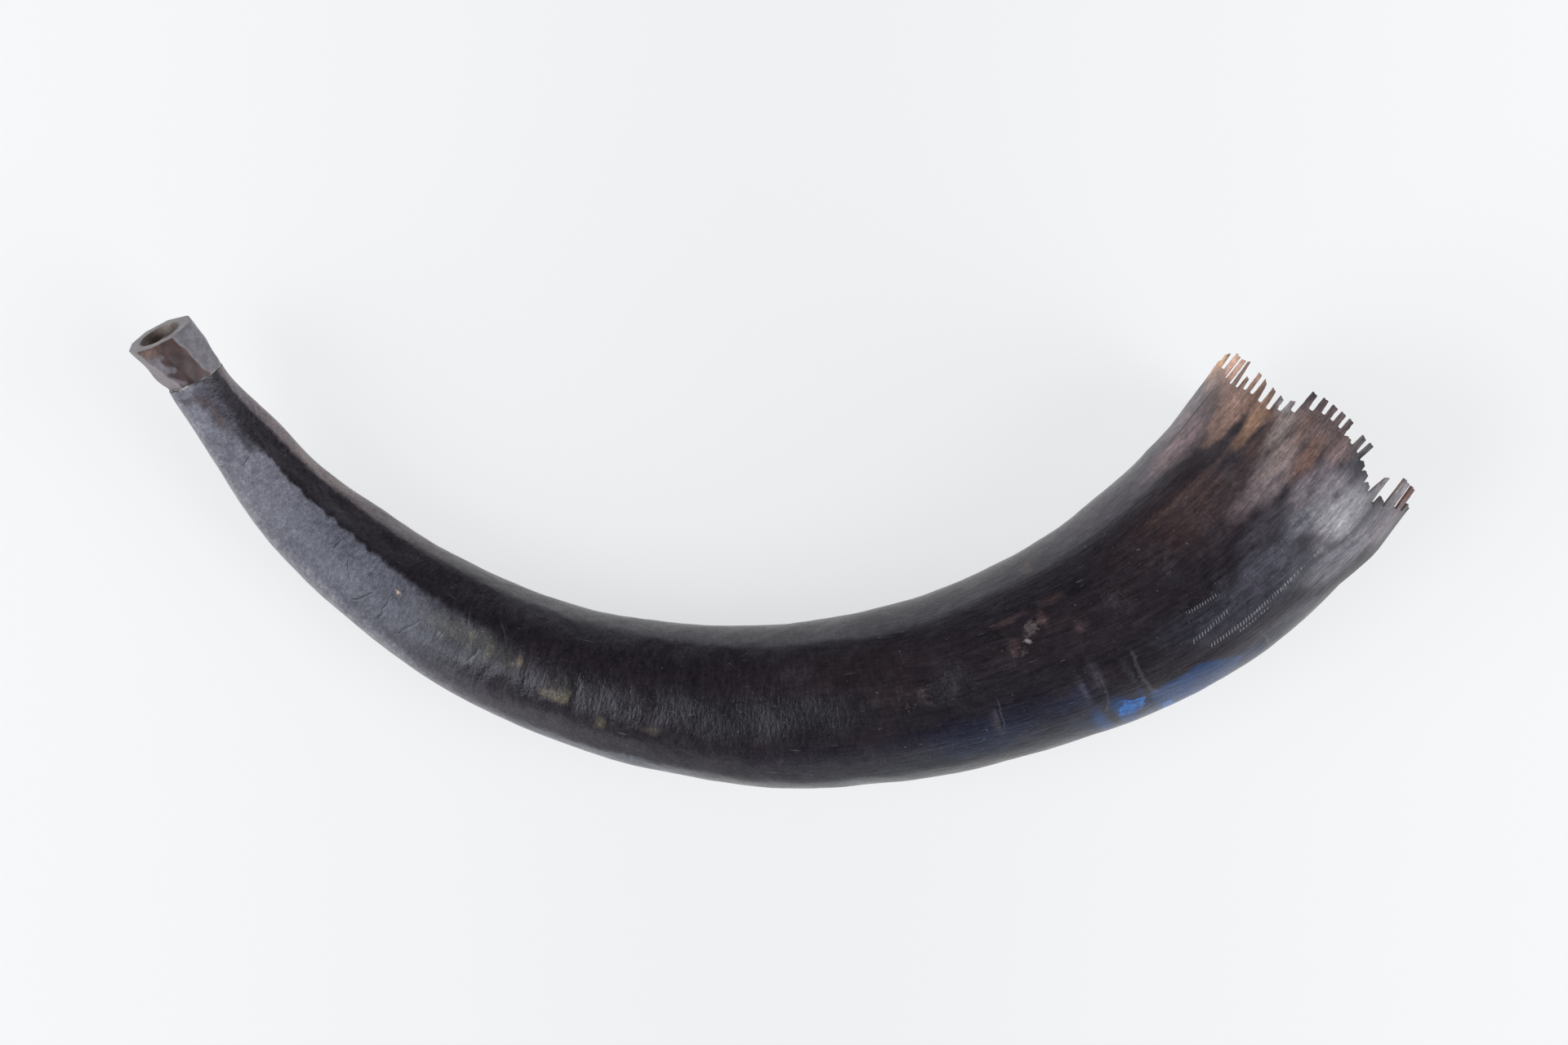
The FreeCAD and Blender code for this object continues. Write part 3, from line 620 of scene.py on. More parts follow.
            # sides
            x0 = (k + 0.1) / n
            w = 0.35 / n
            y0, y1 = 0.985 + 0.013 * i / (RB - 1), 0.985 + 0.013 * (i + 1) / (RB - 1)
            b.face.append((vi[i, 0], vo[i, 0], vo[i + 1, 0], vi[i + 1, 0]))
            b.uv.append(((x0, y0), (x0 + w, y0), (x0 + w, y1), (x0, y1)))
            x1 = (k + 0.55) / n
            b.face.append((vo[i, 4], vi[i, 4], vi[i + 1, 4], vo[i + 1, 4]))
            b.uv.append(((x1, y0), (x1 + w, y0), (x1 + w, y1), (x1, y1)))
        for q in range(4):
            b.face.append((vo[-1, q], vo[-1, q + 1], vi[-1, q + 1], vi[-1, q]))
            x0 = (k + 0.1 + 0.2 * q) / n
            x1 = x0 + 0.18 / n
            b.uv.append(((x0, 0.6215), (x1, 0.6215), (x1, 0.6265), (x0, 0.6265)))
    # slot floors
    for k in range(n):
        for q in range(4):
            j = k * 8 + q
            j2 = (j + 1) % C
            b.face.append((za_o[-1, j], za_o[-1, j2], za_i[-1, j2], za_i[-1, j]))
            x0 = (k + 0.1 + 0.2 * q) / n
            x1 = x0 + 0.18 / n
            b.uv.append(((x0, 0.629), (x1, 0.629), (x1, 0.634), (x0, 0.634)))

    # inner surface from the comb back to the tip
    NI = 72
    thi = np.arange(NI) * TAU / NI
    irows = np.concatenate([[BODY_END], np.arange(488, 16, -6.0), [16.0]])
    Si, Hi = np.meshgrid(irows, thi, indexing="ij")
    inner = b.add(wall(Si, Hi), pack(Si, Hi, 1)) + np.arange(len(irows) * NI).reshape(len(irows), NI)
    ai = np.arange(NI)
    ni = (ai + 1) % NI
    for i in range(len(irows) - 1):
        v0, v1 = 0.64 + 0.34 * irows[i] / 530, 0.64 + 0.34 * irows[i + 1] / 530
        b.quads(inner[i, ai], inner[i, ni], inner[i + 1, ni], inner[i + 1, ai],
                [(j / NI, v0) for j in ai], [((j + 1) / NI, v0) for j in ai],
                [((j + 1) / NI, v1) for j in ai], [(j / NI, v1) for j in ai])
    stitch(inner[0], np.degrees(thi), za_i[0], deg_i,
           lambda d: ui(d, BODY_END - 0.6), lambda d: ui(d, BODY_END), True)
    # tenon socket and the tip's cut face
    prev = inner[-1]
    for s, r in ((16.0, 6.6), (8.0, 6.6), (0.0, 6.6)):
        T, N, B = axes(np.full(NI, s))
        P = centre(np.full(NI, s)) + r * np.cos(thi)[:, None] * N + r * np.sin(thi)[:, None] * B
        ring = b.add(P, pack(np.full(NI, s), thi, 1)) + ai
        vv = 0.64 + 0.34 * (12 - s / 2) / 530
        b.quads(prev[ai], prev[ni], ring[ni], ring[ai],
                [(j / NI, vv) for j in ai], [((j + 1) / NI, vv) for j in ai],
                [((j + 1) / NI, vv - 0.002) for j in ai], [(j / NI, vv - 0.002) for j in ai])
        prev = ring
    stitch(body[0], np.degrees(th), prev, np.degrees(thi),
           lambda d: (d / 360, 0.001), lambda d: (d / 360, 0.003), True)
    return b


# ---------------------------------------------------------------------------
# Colour of the horn, painted in soft patches
# ---------------------------------------------------------------------------
def rgb(r, g, b):
    """Display values 0-255 to scene-linear."""
    v = np.array([r, g, b], float) / 255
    return np.where(v <= 0.04045, v / 12.92, ((v + 0.055) / 1.055) ** 2.4)


# centre along (mm), centre angle (deg), half length (mm), half width (deg),
# skew (deg per mm), colour, strength, edge raggedness
PAINT = [
    # the inner side of the curve, paler: painted reflection along the inner edge
    (25, 18, 34, 16, 0, (104, 90, 92), 0.7, 0.6),
    (60, 22, 26, 14, 0, (108, 92, 88), 0.7, 0.7),
    (100, 22, 34, 14, 0, (92, 84, 88), 0.5, 0.6),
    (12, 26, 12, 12, 0, (100, 98, 106), 0.6, 0.6),
    # stained end below the seam
    (14, 84, 16, 26, 0, (66, 62, 70), 0.6, 0.6),
    (8, 100, 5, 12, 0, (74, 62, 62), 0.6, 1.2),
    (5, 128, 4, 14, 0, (60, 50, 52), 0.6, 1.3),
    (16, 92, 6, 7, 0, (88, 74, 72), 0.6, 1.2),
    (30, 84, 7, 6, 0, (58, 60, 68), 0.6, 1.2),
    (12, 140, 7, 14, 0, (126, 126, 134), 0.5, 0.8),
    (10, 168, 1.6, 8, 0, (168, 140, 122), 0.7, 0.6),
    # the paler inner side by the bell: painted reflection of the light there
    (445, 22, 50, 20, 0, (82, 76, 82), 0.6, 0.5),
    (478, 30, 28, 12, 0, (120, 102, 102), 0.75, 0.5),
    (492, 12, 24, 13, 0, (138, 126, 126), 0.6, 0.3),
    (387, 33, 3, 6, 0, (96, 84, 80), 0.6, 0.9),
    # the outer side down by the table
    (180, 166, 50, 14, 0, (72, 72, 82), 0.5, 0.5),
    (150, 136, 34, 16, 0, (64, 62, 68), 0.6, 0.7),
    (192, 136, 36, 13, 0, (58, 53, 57), 0.6, 0.8),
    # bark flecks
    (148, 92, 22, 14, 0, (74, 74, 70), 0.75, 0.9),
    (166, 96, 10, 12, 0, (62, 62, 60), 0.6, 1.0),
    (148, 106, 7, 7, 0, (46, 45, 50), 0.8, 0.8),
    (168, 104, 6, 7, 0, (58, 55, 58), 0.7, 0.9),
    (173.5, 92, 1.6, 8, 0, (108, 99, 78), 0.7, 1.1),
    (170.5, 97, 1.6, 3, 0, (100, 92, 74), 0.5, 1.0),
    (152, 88, 1.6, 5, 0, (96, 92, 80), 0.6, 1.0),
    (161, 94, 1.5, 6, 0, (96, 92, 78), 0.6, 1.2),
    (190, 103, 7, 12, 0, (56, 53, 51), 0.6, 0.9),
    (189, 110, 6.5, 5.5, 0, (96, 90, 74), 0.75, 1.1),
    (194.5, 108, 1.6, 8, 0, (96, 90, 72), 0.6, 0.9),
    (209, 121, 2.2, 6.5, 0, (84, 80, 66), 0.7, 1.0),
    (214, 108, 8, 9, 0, (46, 44, 45), 0.5, 1.0),
    (228, 117, 4, 5, 0, (80, 76, 64), 0.6, 1.2),
    (118, 90.5, 1.3, 1.7, 0, (214, 190, 160), 0.9, 0.3),
    (141, 103, 1.2, 2.4, 0, (130, 126, 120), 0.6, 0.6),
    (156, 108, 1.1, 8, 0, (104, 106, 112), 0.7, 0.6),
    # warm black of the middle, with worn reddish places
    (305, 70, 60, 22, 0, (42, 34, 37), 0.6, 0.6),
    (320, 92, 16, 12, 0, (52, 41, 42), 0.5, 1.2),
    (296, 98, 12, 10, 0, (42, 37, 40), 0.4, 1.2),
    (283, 66, 9, 9, 0, (52, 49, 54), 0.5, 1.2),
    (331, 94, 1.8, 7, 0, (84, 72, 72), 0.55, 1.3),
    (313, 92, 1.4, 5, 0, (84, 74, 76), 0.5, 1.3),
    (300, 88, 1.4, 6, 0, (66, 58, 60), 0.5, 1.3),
    (392, 84, 52, 20, 0, (38, 30, 33), 0.6, 0.5),
    (374, 64, 8, 2.2, 0, (84, 68, 68), 0.6, 1.3),
    (385, 72, 2.2, 7, 0, (84, 64, 63), 0.6, 1.2),
    (371, 80, 2.6, 6, 0, (72, 55, 54), 0.6, 1.2),
    (391, 63, 6, 3, 0, (70, 54, 54), 0.5, 1.2),
    (397, 84, 2.8, 4.5, 0, (78, 62, 63), 0.55, 1.3),
    (376.6, 80.3, 1.3, 1.0, 0, (190, 184, 178), 0.9, 0.4),
    (270, 96, 70, 18, 0, (24, 22, 26), 0.75, 0.5),
    (352, 102, 40, 14, 0, (28, 25, 30), 0.6, 0.6),
    # darkest along the underside that faces the table: painted shade
    (330, 150, 90, 20, 0, (18, 19, 28), 0.85, 0.4),
    (352, 128, 44, 18, 0, (26, 30, 46), 0.7, 0.8),
    (300, 130, 44, 16, 0, (32, 30, 38), 0.5, 0.8),
    (355, 122, 1.6, 12, 0, (78, 74, 80), 0.45, 1.3),
    # brown fibres towards the bell
    (450, 62, 40, 22, 0, (46, 34, 36), 0.75, 0.6),
    (470, 70, 34, 12, 0, (62, 47, 46), 0.7, 0.9),
    (470, 57, 34, 3.4, 0, (86, 68, 62), 0.6, 1.4),
    (478, 64, 26, 2.6, 0, (80, 60, 54), 0.6, 1.4),
    (462, 84, 24, 5, 0, (60, 50, 52), 0.5, 1.2),
    (484, 51, 24, 4, 0, (44, 34, 36), 0.65, 1.0),
    (500, 66, 16, 4, 0, (74, 54, 48), 0.7, 1.1),
    (490, 82, 22, 9, 0, (124, 112, 112), 0.7, 1.2),
    (474, 96, 16, 7, 0, (70, 66, 72), 0.6, 1.2),
    # the grey patches here are painted sheen of the bell
    (499, 99, 13, 9, 0, (124, 116, 120), 0.8, 0.8),
    (504, 109, 9, 8, 0, (128, 122, 126), 0.75, 0.8),
    (478, 128, 14, 10, 0, (92, 92, 98), 0.6, 0.9),
    # tan horn at the comb
    (516, 40, 18, 44, 0, (118, 98, 90), 0.75, 0.7),
    (518, 84, 14, 22, 0, (108, 92, 88), 0.7, 0.7),
    (500, 44, 15, 8, 0, (160, 130, 114), 0.75, 1.1),
    (508, 36, 10, 9, 0, (146, 118, 104), 0.7, 1.0),
    (505, 58, 14, 6, 0, (150, 118, 94), 0.8, 1.1),
    (512, 50, 8, 4, 0, (112, 84, 66), 0.6, 1.0),
    (512, 63, 5, 3, 0, (92, 70, 52), 0.7, 1.0),
    (508, 71, 9, 5, 0, (150, 138, 130), 0.7, 1.0),
    (500, 79, 12, 6, 0, (146, 130, 122), 0.7, 1.1),
    (506, 89, 12, 6, 0, (120, 92, 80), 0.7, 1.1),
    (513, 80, 8, 4, 0, (106, 84, 72), 0.6, 1.0),
    (514, 99, 7, 6, 0, (122, 102, 100), 0.7, 0.9),
    (517, 6, 11, 14, 0, (204, 158, 118), 0.95, 0.5),
    (508, 16, 9, 8, 0, (150, 128, 118), 0.8, 0.6),
    (520, 26, 9, 10, 0, (206, 166, 142), 0.85, 0.5),
    (519, 44, 7, 8, 0, (168, 136, 116), 0.8, 0.6),
    (518, 57, 6, 5, 0, (128, 104, 88), 0.8, 0.7),
    (517, 65, 5, 5, 0, (150, 146, 146), 0.8, 0.6),
    (519, 70, 4, 3, 0, (112, 98, 94), 0.8, 0.6),
    (525, 79, 4, 8, 0, (72, 62, 60), 0.85, 0.6),
    (525, 90, 4, 6, 0, (112, 98, 96), 0.7, 0.6),
    (521, 106, 4, 6, 0, (98, 90, 90), 0.7, 0.6),
    (516, 143, 8, 7, 0, (142, 136, 138), 0.85, 0.5),
    (514, 128, 6, 5, 0, (138, 132, 132), 0.8, 0.5),
    (516, 150.5, 8, 3.2, 0, (112, 60, 44), 0.85, 0.3),
    (513.5, 161, 3, 4, 0, (96, 62, 52), 0.7, 0.3),
    # painted sheen on the bell's outer side: grey where the light falls, darker and bluish round it
    (497, 120, 15, 15, 0, (148, 146, 148), 0.85, 0.7),
    (486, 108, 9, 7, 0, (120, 120, 126), 0.7, 1.0),
    (490, 140, 20, 14, 0, (120, 118, 123), 0.75, 0.8),
    (504, 152, 12, 16, 0, (124, 118, 122), 0.7, 0.5),
    (468, 110, 20, 12, 0, (76, 77, 85), 0.6, 1.1),
    (452, 122, 28, 15, 0, (58, 59, 68), 0.5, 1.0),
    (432, 112, 18, 10, 0, (46, 47, 55), 0.5, 1.0),
    (463, 152, 15, 10, 0, (74, 73, 80), 0.7, 0.5),
    (446, 154, 22, 14, 0, (22, 25, 42), 0.7, 0.5),
    (395, 114, 2.0, 16, 0, (66, 64, 70), 0.5, 1.0),
    (388, 120, 1.6, 14, 0, (76, 76, 84), 0.5, 1.0),
]


def grain(s, th):
    """Ragged edge noise: across the horn on the tip half, along its fibres at the bell."""
    k = step(s, 240, 400)
    a, b2, c3 = blotch_a(s, th), blotch_b(s, th), blotch_c(s, th)
    tip_half = 0.16 * a + 0.16 * cross(s, th) + 0.12 * cross_b(s, th) + 0.06 * c3
    bell_half = 0.14 * a + 0.10 * b2 + 0.14 * streak_a(s, th) + 0.08 * c3
    return tip_half * (1 - k) + bell_half * k


def horn_paint(data):
    s, c, sn, ins = data.T
    th = np.arctan2(sn, c)
    deg = np.degrees(th) % 360
    col = np.repeat(rgb(32, 27, 32)[None], len(s), 0)
    n = grain(s, th)
    cr = crest(s, th)
    # grey-blue of the scraped outer flat, crisp at the crest: partly dust on the flat, partly painted sheen of the
    # light reflected there
    hw = 1.0 + 11 * (1 - step(s, 34, 41)) + 3.0 * step(s, 84, 112)
    k = (1 - step(s + 22 * n, 100, 168)) * step(deg + 10 * n, cr - hw, cr + hw) * (1 - step(deg, 168, 205))
    k = k * (0.9 + 0.35 * n) * (1 - 0.35 * bell(s - 31, 5) * bell(deg - 82, 6))
    k = np.clip(k, 0, 1)[:, None]
    tip = (1 - step(s, 40, 90))[:, None]
    col = col * (1 - k) + (rgb(103, 104, 112) * tip + rgb(90, 92, 101) * (1 - tip)) * k
    # low down on the outer side the flat fades to a paler grey: partly dust, partly painted reflection
    low = (step(deg, 134, 150) * (1 - step(deg, 172, 205)) * (1 - step(s, 100, 190)) * (1 + n))[:, None]
    low = np.clip(low, 0, 1)
    col = col * (1 - 0.7 * low) + rgb(124, 123, 128) * 0.7 * low
    # inner strip with a ragged lower edge: a painted reflection along the inner side, warmer towards the tip
    e = 36 + 5 * step(s, 170, 240) + 4 * bell(s - 322, 26) - 8 * step(s, 440, 500)
    near = np.where(deg > 300, deg - 360, deg)
    top = (1 - step(near + 9 * n, e - 1.8, e + 2.2)) * step(near, -60, -15)
    fade = 1 - step(s, 485, 505)
    top = np.clip(top * fade * (0.9 + 0.5 * n), 0, 1)[:, None]
    warm = (1 - step(s, 60, 180))[:, None]
    col = col * (1 - 0.85 * top) + (rgb(88, 79, 81) * warm + rgb(62, 60, 65) * (1 - warm)) * 0.85 * top
    # and the outer strip of the belly, ragged above: a painted reflection of the floor along the lower edge
    e = 153 - 4 * bell(s - 228, 12)
    under = step(deg + 9 * n, e - 1.5, e + 2.0) * (1 - step(deg, 172, 200)) * step(s, 168, 196) * (1 - step(s, 226, 262))
    under = np.clip(under, 0, 1)[:, None]
    col = col * (1 - 0.7 * under) + rgb(66, 68, 78) * 0.7 * under
    for s0, t0, ls, lt, skew, tone, power, rag in PAINT:
        dt = wrap(deg - t0 - skew * (s - s0))
        r = np.sqrt(((s - s0) / ls) ** 2 + (dt / lt) ** 2) + rag * n
        w = power * (1 - step(r, 0.35, 1.15))
        col = col * (1 - w[:, None]) + rgb(*tone) * w[:, None]
    mild = 0.22 + 0.6 * step(s, 110, 190)
    col = col * np.clip(1 + mild * n, 0.35, 1.9)[:, None]
    # inside: red-brown, paler towards the rim
    k = step(s, 440, 515)
    inside = rgb(58, 36, 31) * (1 - k)[:, None] + rgb(112, 66, 50) * k[:, None]
    # painted light: the rim's inner wall and the teeth lightened where they lie in shade
    k = step(s, 511, 519)[:, None]
    inside = inside * (1 - k) + rgb(150, 104, 80) * k
    inside = inside * np.clip(1 + 0.15 * streak_a(s, th) + 0.1 * blotch_b(s, th), 0.5, 1.6)[:, None]
    return np.where(ins[:, None] > 0.5, inside, col)


def horn_masks(data):
    """blue, roughness, worn, bright blue flake, as soft fields."""
    s, c, sn, ins = data.T
    th = np.arctan2(sn, c)
    deg = np.degrees(th) % 360
    out = 1.0 * (ins < 0.5)
    n = grain(s, th)
    b2, st = blotch_b(s, th), cross(s, th)

    def blob(s0, t0, ls, lt, rag=0.5, e0=0.4, e1=1.1):
        r = np.sqrt(((s - s0) / ls) ** 2 + (wrap(deg - t0) / lt) ** 2)
        return 1 - step(r + rag * n, e0, e1)

    # a stained facet with a crisp upper edge and a slanted end
    right = 432 + 0.85 * np.clip(deg - 137, 0, 13) - 0.5 * np.clip(deg - 152, 0, 30)
    top = 139.5 - 2.5 * bell(s - 428, 10) + 1.0 * b2
    facet = step(s, 407.4, 408.8) * (1 - step(s, right - 5, right + 2)) * step(deg, top - 0.8, top + 0.8) * (1 - step(deg, 170, 196))
    fade = step(s, 352, 400) * (1 - step(s, 406.5, 409)) * step(deg + 8 * n, 122, 146) * (1 - step(deg, 168, 196))
    blue = np.maximum.reduce([
        0.92 * facet,
        (0.42 + 0.42 * step(s, 374, 400)) * fade * (0.85 + 0.5 * st),
        0.30 * blob(385, 122, 12, 14, 1.0),
        0.26 * blob(352, 138, 26, 18, 0.9),
        0.35 * blob(442, 160, 12, 16, 0.6),
    ])
    flake = np.maximum(
        step(s + 0.28 * (deg - 137) + 9 * n, 397.5, 400.5) * (1 - step(s + 0.3 * np.clip(deg - 142, 0, 30) + 3 * n, 406.4, 408.2))
        * step(deg - 0.5 * (s - 399) + 6 * n, 136, 138.5) * (1 - step(deg - 0.7 * (s - 396) + 18 * n, 147, 155)),
        0.7 * blob(412, 165, 4, 8, 1.8))
    worn = np.maximum.reduce([
        0.8 * blob(380, 74, 7, 7, 1.2), 0.5 * blob(372, 84, 5, 6, 1.2),
        0.4 * blob(330, 94, 14, 10, 1.4), 0.35 * blob(400, 84, 10, 8, 1.4),
        0.3 * blob(440, 106, 18, 12, 1.4), 0.35 * blob(290, 96, 14, 12, 1.5),
        0.35 * blob(188, 110, 9, 8, 1.0), 0.3 * blob(165, 95, 14, 12, 1.2),
    ])
    # roughness: polished black, scraped flat and satin bell
    cr = crest(s, th)
    ro = 0.27 + 0.16 * (1 - step(s, 110, 180)) * step(deg, cr - 1, cr + 1) * (1 - step(deg, 170, 200))
    ro = ro + 0.14 * step(s, 462, 492) + 0.08 * blob(160, 95, 30, 20, 0.6) + 0.03 * n
    ro = np.where(ins > 0.5, 0.55, ro)
    return np.stack([blue * out, ro, worn * out, flake * out], -1)


# ---------------------------------------------------------------------------
# Materials
# ---------------------------------------------------------------------------
def material(name):
    m = bpy.data.materials.new(name)
    m.use_nodes = True
    nt = m.node_tree
    nt.nodes.clear()
    out = nt.nodes.new("ShaderNodeOutputMaterial")
    bsdf = nt.nodes.new("ShaderNodeBsdfPrincipled")
    nt.links.new(bsdf.outputs["BSDF"], out.inputs["Surface"])
    return m, nt, bsdf


class G:
    """Short hands for wiring nodes."""

    def __init__(self, nt):
        self.nt = nt

    def node(self, kind, **props):
        n = self.nt.nodes.new(kind)
        for k, v in props.items():
            setattr(n, k, v)
        return n

    def put(self, sock, v):
        if isinstance(v, bpy.types.NodeSocket):
            self.nt.links.new(v, sock)
        else:
            sock.default_value = v

    def attr(self, name):
        n = self.node("ShaderNodeAttribute", attribute_name=name)
        return n

    def math(self, op, a, b=0.5, c=0.5, clamp=False):
        n = self.node("ShaderNodeMath", operation=op, use_clamp=clamp)
        self.put(n.inputs[0], a)
        self.put(n.inputs[1], b)
        self.put(n.inputs[2], c)
        return n.outputs[0]

    def mix(self, f, a, b, kind="MIX"):
        n = self.node("ShaderNodeMix", data_type="RGBA", blend_type=kind, clamp_factor=True)
        self.put(n.inputs["Factor"], f)
        self.put([i for i in n.inputs if i.name == "A" and i.type == "RGBA"][0], a)
        self.put([i for i in n.inputs if i.name == "B" and i.type == "RGBA"][0], b)
        return [o for o in n.outputs if o.type == "RGBA"][0]

    def noise(self, vec, scale, detail=3.0, rough=0.55, warp=0.0):
        n = self.node("ShaderNodeTexNoise", noise_dimensions="3D")
        self.put(n.inputs["Vector"], vec)
        self.put(n.inputs["Scale"], scale)
        self.put(n.inputs["Detail"], detail)
        self.put(n.inputs["Roughness"], rough)
        self.put(n.inputs["Distortion"], warp)
        return n.outputs["Fac"]

    def ramp(self, v, a, b, lo=0.0, hi=1.0):
        n = self.node("ShaderNodeMapRange", clamp=True, interpolation_type="SMOOTHSTEP")
        self.put(n.inputs["Value"], v)
        for k, x in (("From Min", a), ("From Max", b), ("To Min", lo), ("To Max", hi)):
            self.put(n.inputs[k], x)
        return n.outputs["Result"]

    def vec(self, x, y, z):
        n = self.node("ShaderNodeCombineXYZ")
        for i, v in enumerate((x, y, z)):
            self.put(n.inputs[i], v)
        return n.outputs[0]

    def bump(self, height, strength, distance, normal=None):
        n = self.node("ShaderNodeBump")
        self.put(n.inputs["Strength"], strength)
        self.put(n.inputs["Distance"], distance)
        self.put(n.inputs["Height"], height)
        if normal is not None:
            self.put(n.inputs["Normal"], normal)
        return n.outputs["Normal"]


# rows of ticks: from and to (dm), angle at each end, half height (deg), pitch (dm), lean
TICKS = [
    (4.34, 4.47, 105.0, 106.0, 1.1, 0.011, 0.25),
    (4.30, 4.465, 121.0, 116.5, 1.5, 0.0125, 0.2),
    (4.34, 4.70, 129.0, 126.5, 1.5, 0.0118, 0.2),
    (4.62, 4.84, 127.0, 125.5, 1.0, 0.016, 0.2),
    (4.45, 4.58, 131.5, 131.0, 0.8, 0.013, 0.2),
]


# cracks across the horn: dm and degrees at each end, half width (dm), how strong the painted highlight on the lip is
CRACKS = [
    (1.10, 105, 1.04, 129, 0.0055, 1.0),
    (1.165, 103, 1.155, 131, 0.005, 0.7),
    (1.31, 99, 1.25, 131, 0.005, 1.0),
    (0.93, 94, 1.00, 113, 0.004, 0.8),
    (0.36, 92, 0.358, 113, 0.004, 0.5),
    (0.862, 80, 0.862, 97, 0.0045, 0.6),
    (1.08, 84, 1.10, 97, 0.004, 0.6),
    (1.56, 97, 1.525, 117, 0.006, 1.0),
    (1.41, 97, 1.40, 111, 0.006, 0.4),
    (1.46, 70, 1.49, 84, 0.005, 0.5),
    (1.60, 66, 1.66, 86, 0.005, 0.6),
    (2.08, 96, 2.05, 124, 0.006, 0.3),
    (3.57, 104, 3.565, 129, 0.005, 0.6),
    (4.08, 108, 4.085, 143, 0.014, 0.5),
    (3.95, 116, 3.92, 142, 0.008, 0.4),
    (4.49, 141, 4.505, 168, 0.006, 0.6),
]
# and along it: degrees, dm from and to, half width in degrees
SEAMS = [
    (22.5, 4.70, 5.06, 0.9),
    (27.0, 3.55, 3.76, 0.7),
    (118.0, 1.40, 2.02, 0.9),
    (83.0, 0.24, 0.37, 1.2),
    (86.5, 0.28, 0.38, 0.8),
]


def horn_material():
    m, nt, bsdf = material("polished_natural_horn")
    g = G(nt)
    where = g.node("ShaderNodeSeparateColor")
    nt.links.new(g.attr("where").outputs["Color"], where.inputs[0])
    masks = g.attr("masks")
    sep = g.node("ShaderNodeSeparateColor")
    nt.links.new(masks.outputs["Color"], sep.inputs[0])
    blue, base_ro, worn, flake = sep.outputs[0], sep.outputs[1], sep.outputs[2], masks.outputs["Alpha"]
    paint = g.attr("paint").outputs["Color"]
    s, c, sn = where.outputs[0], where.outputs[1], where.outputs[2]  # s in dm, cos and sin of the angle
    deg = g.math("MULTIPLY", g.math("ARCTAN2", sn, c), 57.29578)

    def along(ks, kc):
        return g.vec(g.math("MULTIPLY", s, ks), g.math("MULTIPLY", c, kc), g.math("MULTIPLY", sn, kc))

    even = g.node("ShaderNodeTexCoord").outputs["Object"]
    fib = g.noise(along(8.0, 26.0), 1.0, 4.0, 0.62)  # fibres along the horn
    fib2 = g.noise(along(30.0, 80.0), 1.0, 3.0, 0.6)
    ring = g.noise(along(70.0, 7.0), 1.0, 4.0, 0.62)  # growth lines across it
    ring2 = g.noise(along(170.0, 26.0), 1.0, 3.0, 0.6)
    k = g.ramp(s, 2.3, 3.9)
    f1 = g.math("ADD", g.math("MULTIPLY", fib, k), g.math("MULTIPLY", ring, g.math("SUBTRACT", 1.0, k)))
    f2 = g.math("ADD", g.math("MULTIPLY", fib2, k), g.math("MULTIPLY", ring2, g.math("SUBTRACT", 1.0, k)))
    speck = g.noise(even, 620.0, 3.0, 0.7)
    cloud = g.noise(even, 60.0, 4.0, 0.6, 0.4)
    grit = g.noise(even, 210.0, 4.0, 0.62, 0.2)
    # colour
    col = g.mix(0.8, paint, g.mix(g.ramp(f1, 0.28, 0.72), (0.66, 0.65, 0.67, 1), (1.38, 1.35, 1.32, 1)), "MULTIPLY")
    col = g.mix(0.8, col, g.mix(g.ramp(f2, 0.3, 0.7), (0.66, 0.66, 0.67, 1), (1.34, 1.33, 1.32, 1)), "MULTIPLY")
    col = g.mix(0.5, col, g.mix(g.ramp(grit, 0.3, 0.7), (0.66, 0.65, 0.66, 1), (1.36, 1.34, 1.34, 1)), "MULTIPLY")
    col = g.mix(0.5, col, g.mix(g.ramp(speck, 0.35, 0.65), (0.72, 0.71, 0.72, 1), (1.28, 1.28, 1.29, 1)), "MULTIPLY")
    b_edge = g.math("ADD", blue, g.math("MULTIPLY", g.math("SUBTRACT", grit, 0.5), 0.3))
    bl = g.ramp(b_edge, 0.10, 0.90)
    col = g.mix(bl, col, g.mix(g.ramp(cloud, 0.35, 0.65), (0.005, 0.025, 0.080, 1), (0.010, 0.040, 0.118, 1)))
    fl = g.ramp(g.math("ADD", flake, g.math("MULTIPLY", g.math("SUBTRACT", grit, 0.5), 1.5)), 0.35, 0.62)
    col = g.mix(g.math("MULTIPLY", fl, 0.85), col, g.mix(g.ramp(speck, 0.35, 0.65), (0.006, 0.050, 0.19, 1), (0.022, 0.14, 0.40, 1)))
    wn = g.ramp(g.math("ADD", worn, g.math("MULTIPLY", g.math("SUBTRACT", speck, 0.5), 1.6)), 0.42, 0.95)
    col = g.mix(g.math("MULTIPLY", wn, 0.6), col, (0.15, 0.115, 0.105, 1))
    # rows of short tool ticks
    marks = None
    for s0, s1, d0, d1, half, pitch, lean in TICKS:
        mid = g.math("ADD", d0, g.math("MULTIPLY", g.math("SUBTRACT", s, s0), (d1 - d0) / (s1 - s0)))
        off = g.math("SUBTRACT", deg, mid)
        band = g.ramp(g.math("ABSOLUTE", off, 0.0), half, half * 0.6)
        ends = g.math("MULTIPLY", g.ramp(s, s0 - 0.003, s0 + 0.003), g.ramp(s, s1 + 0.003, s1 - 0.003))
        ph = g.math("ADD", g.math("DIVIDE", s, pitch), g.math("MULTIPLY", off, lean))
        saw = g.math("ABSOLUTE", g.math("SUBTRACT", g.math("FRACT", ph, 0.0), 0.5), 0.0)
        one = g.math("MULTIPLY", g.math("MULTIPLY", band, ends), g.ramp(saw, 0.20, 0.08))
        marks = one if marks is None else g.math("MAXIMUM", marks, one)
    marks = g.math("MULTIPLY", marks, g.ramp(grit, 0.30, 0.46))
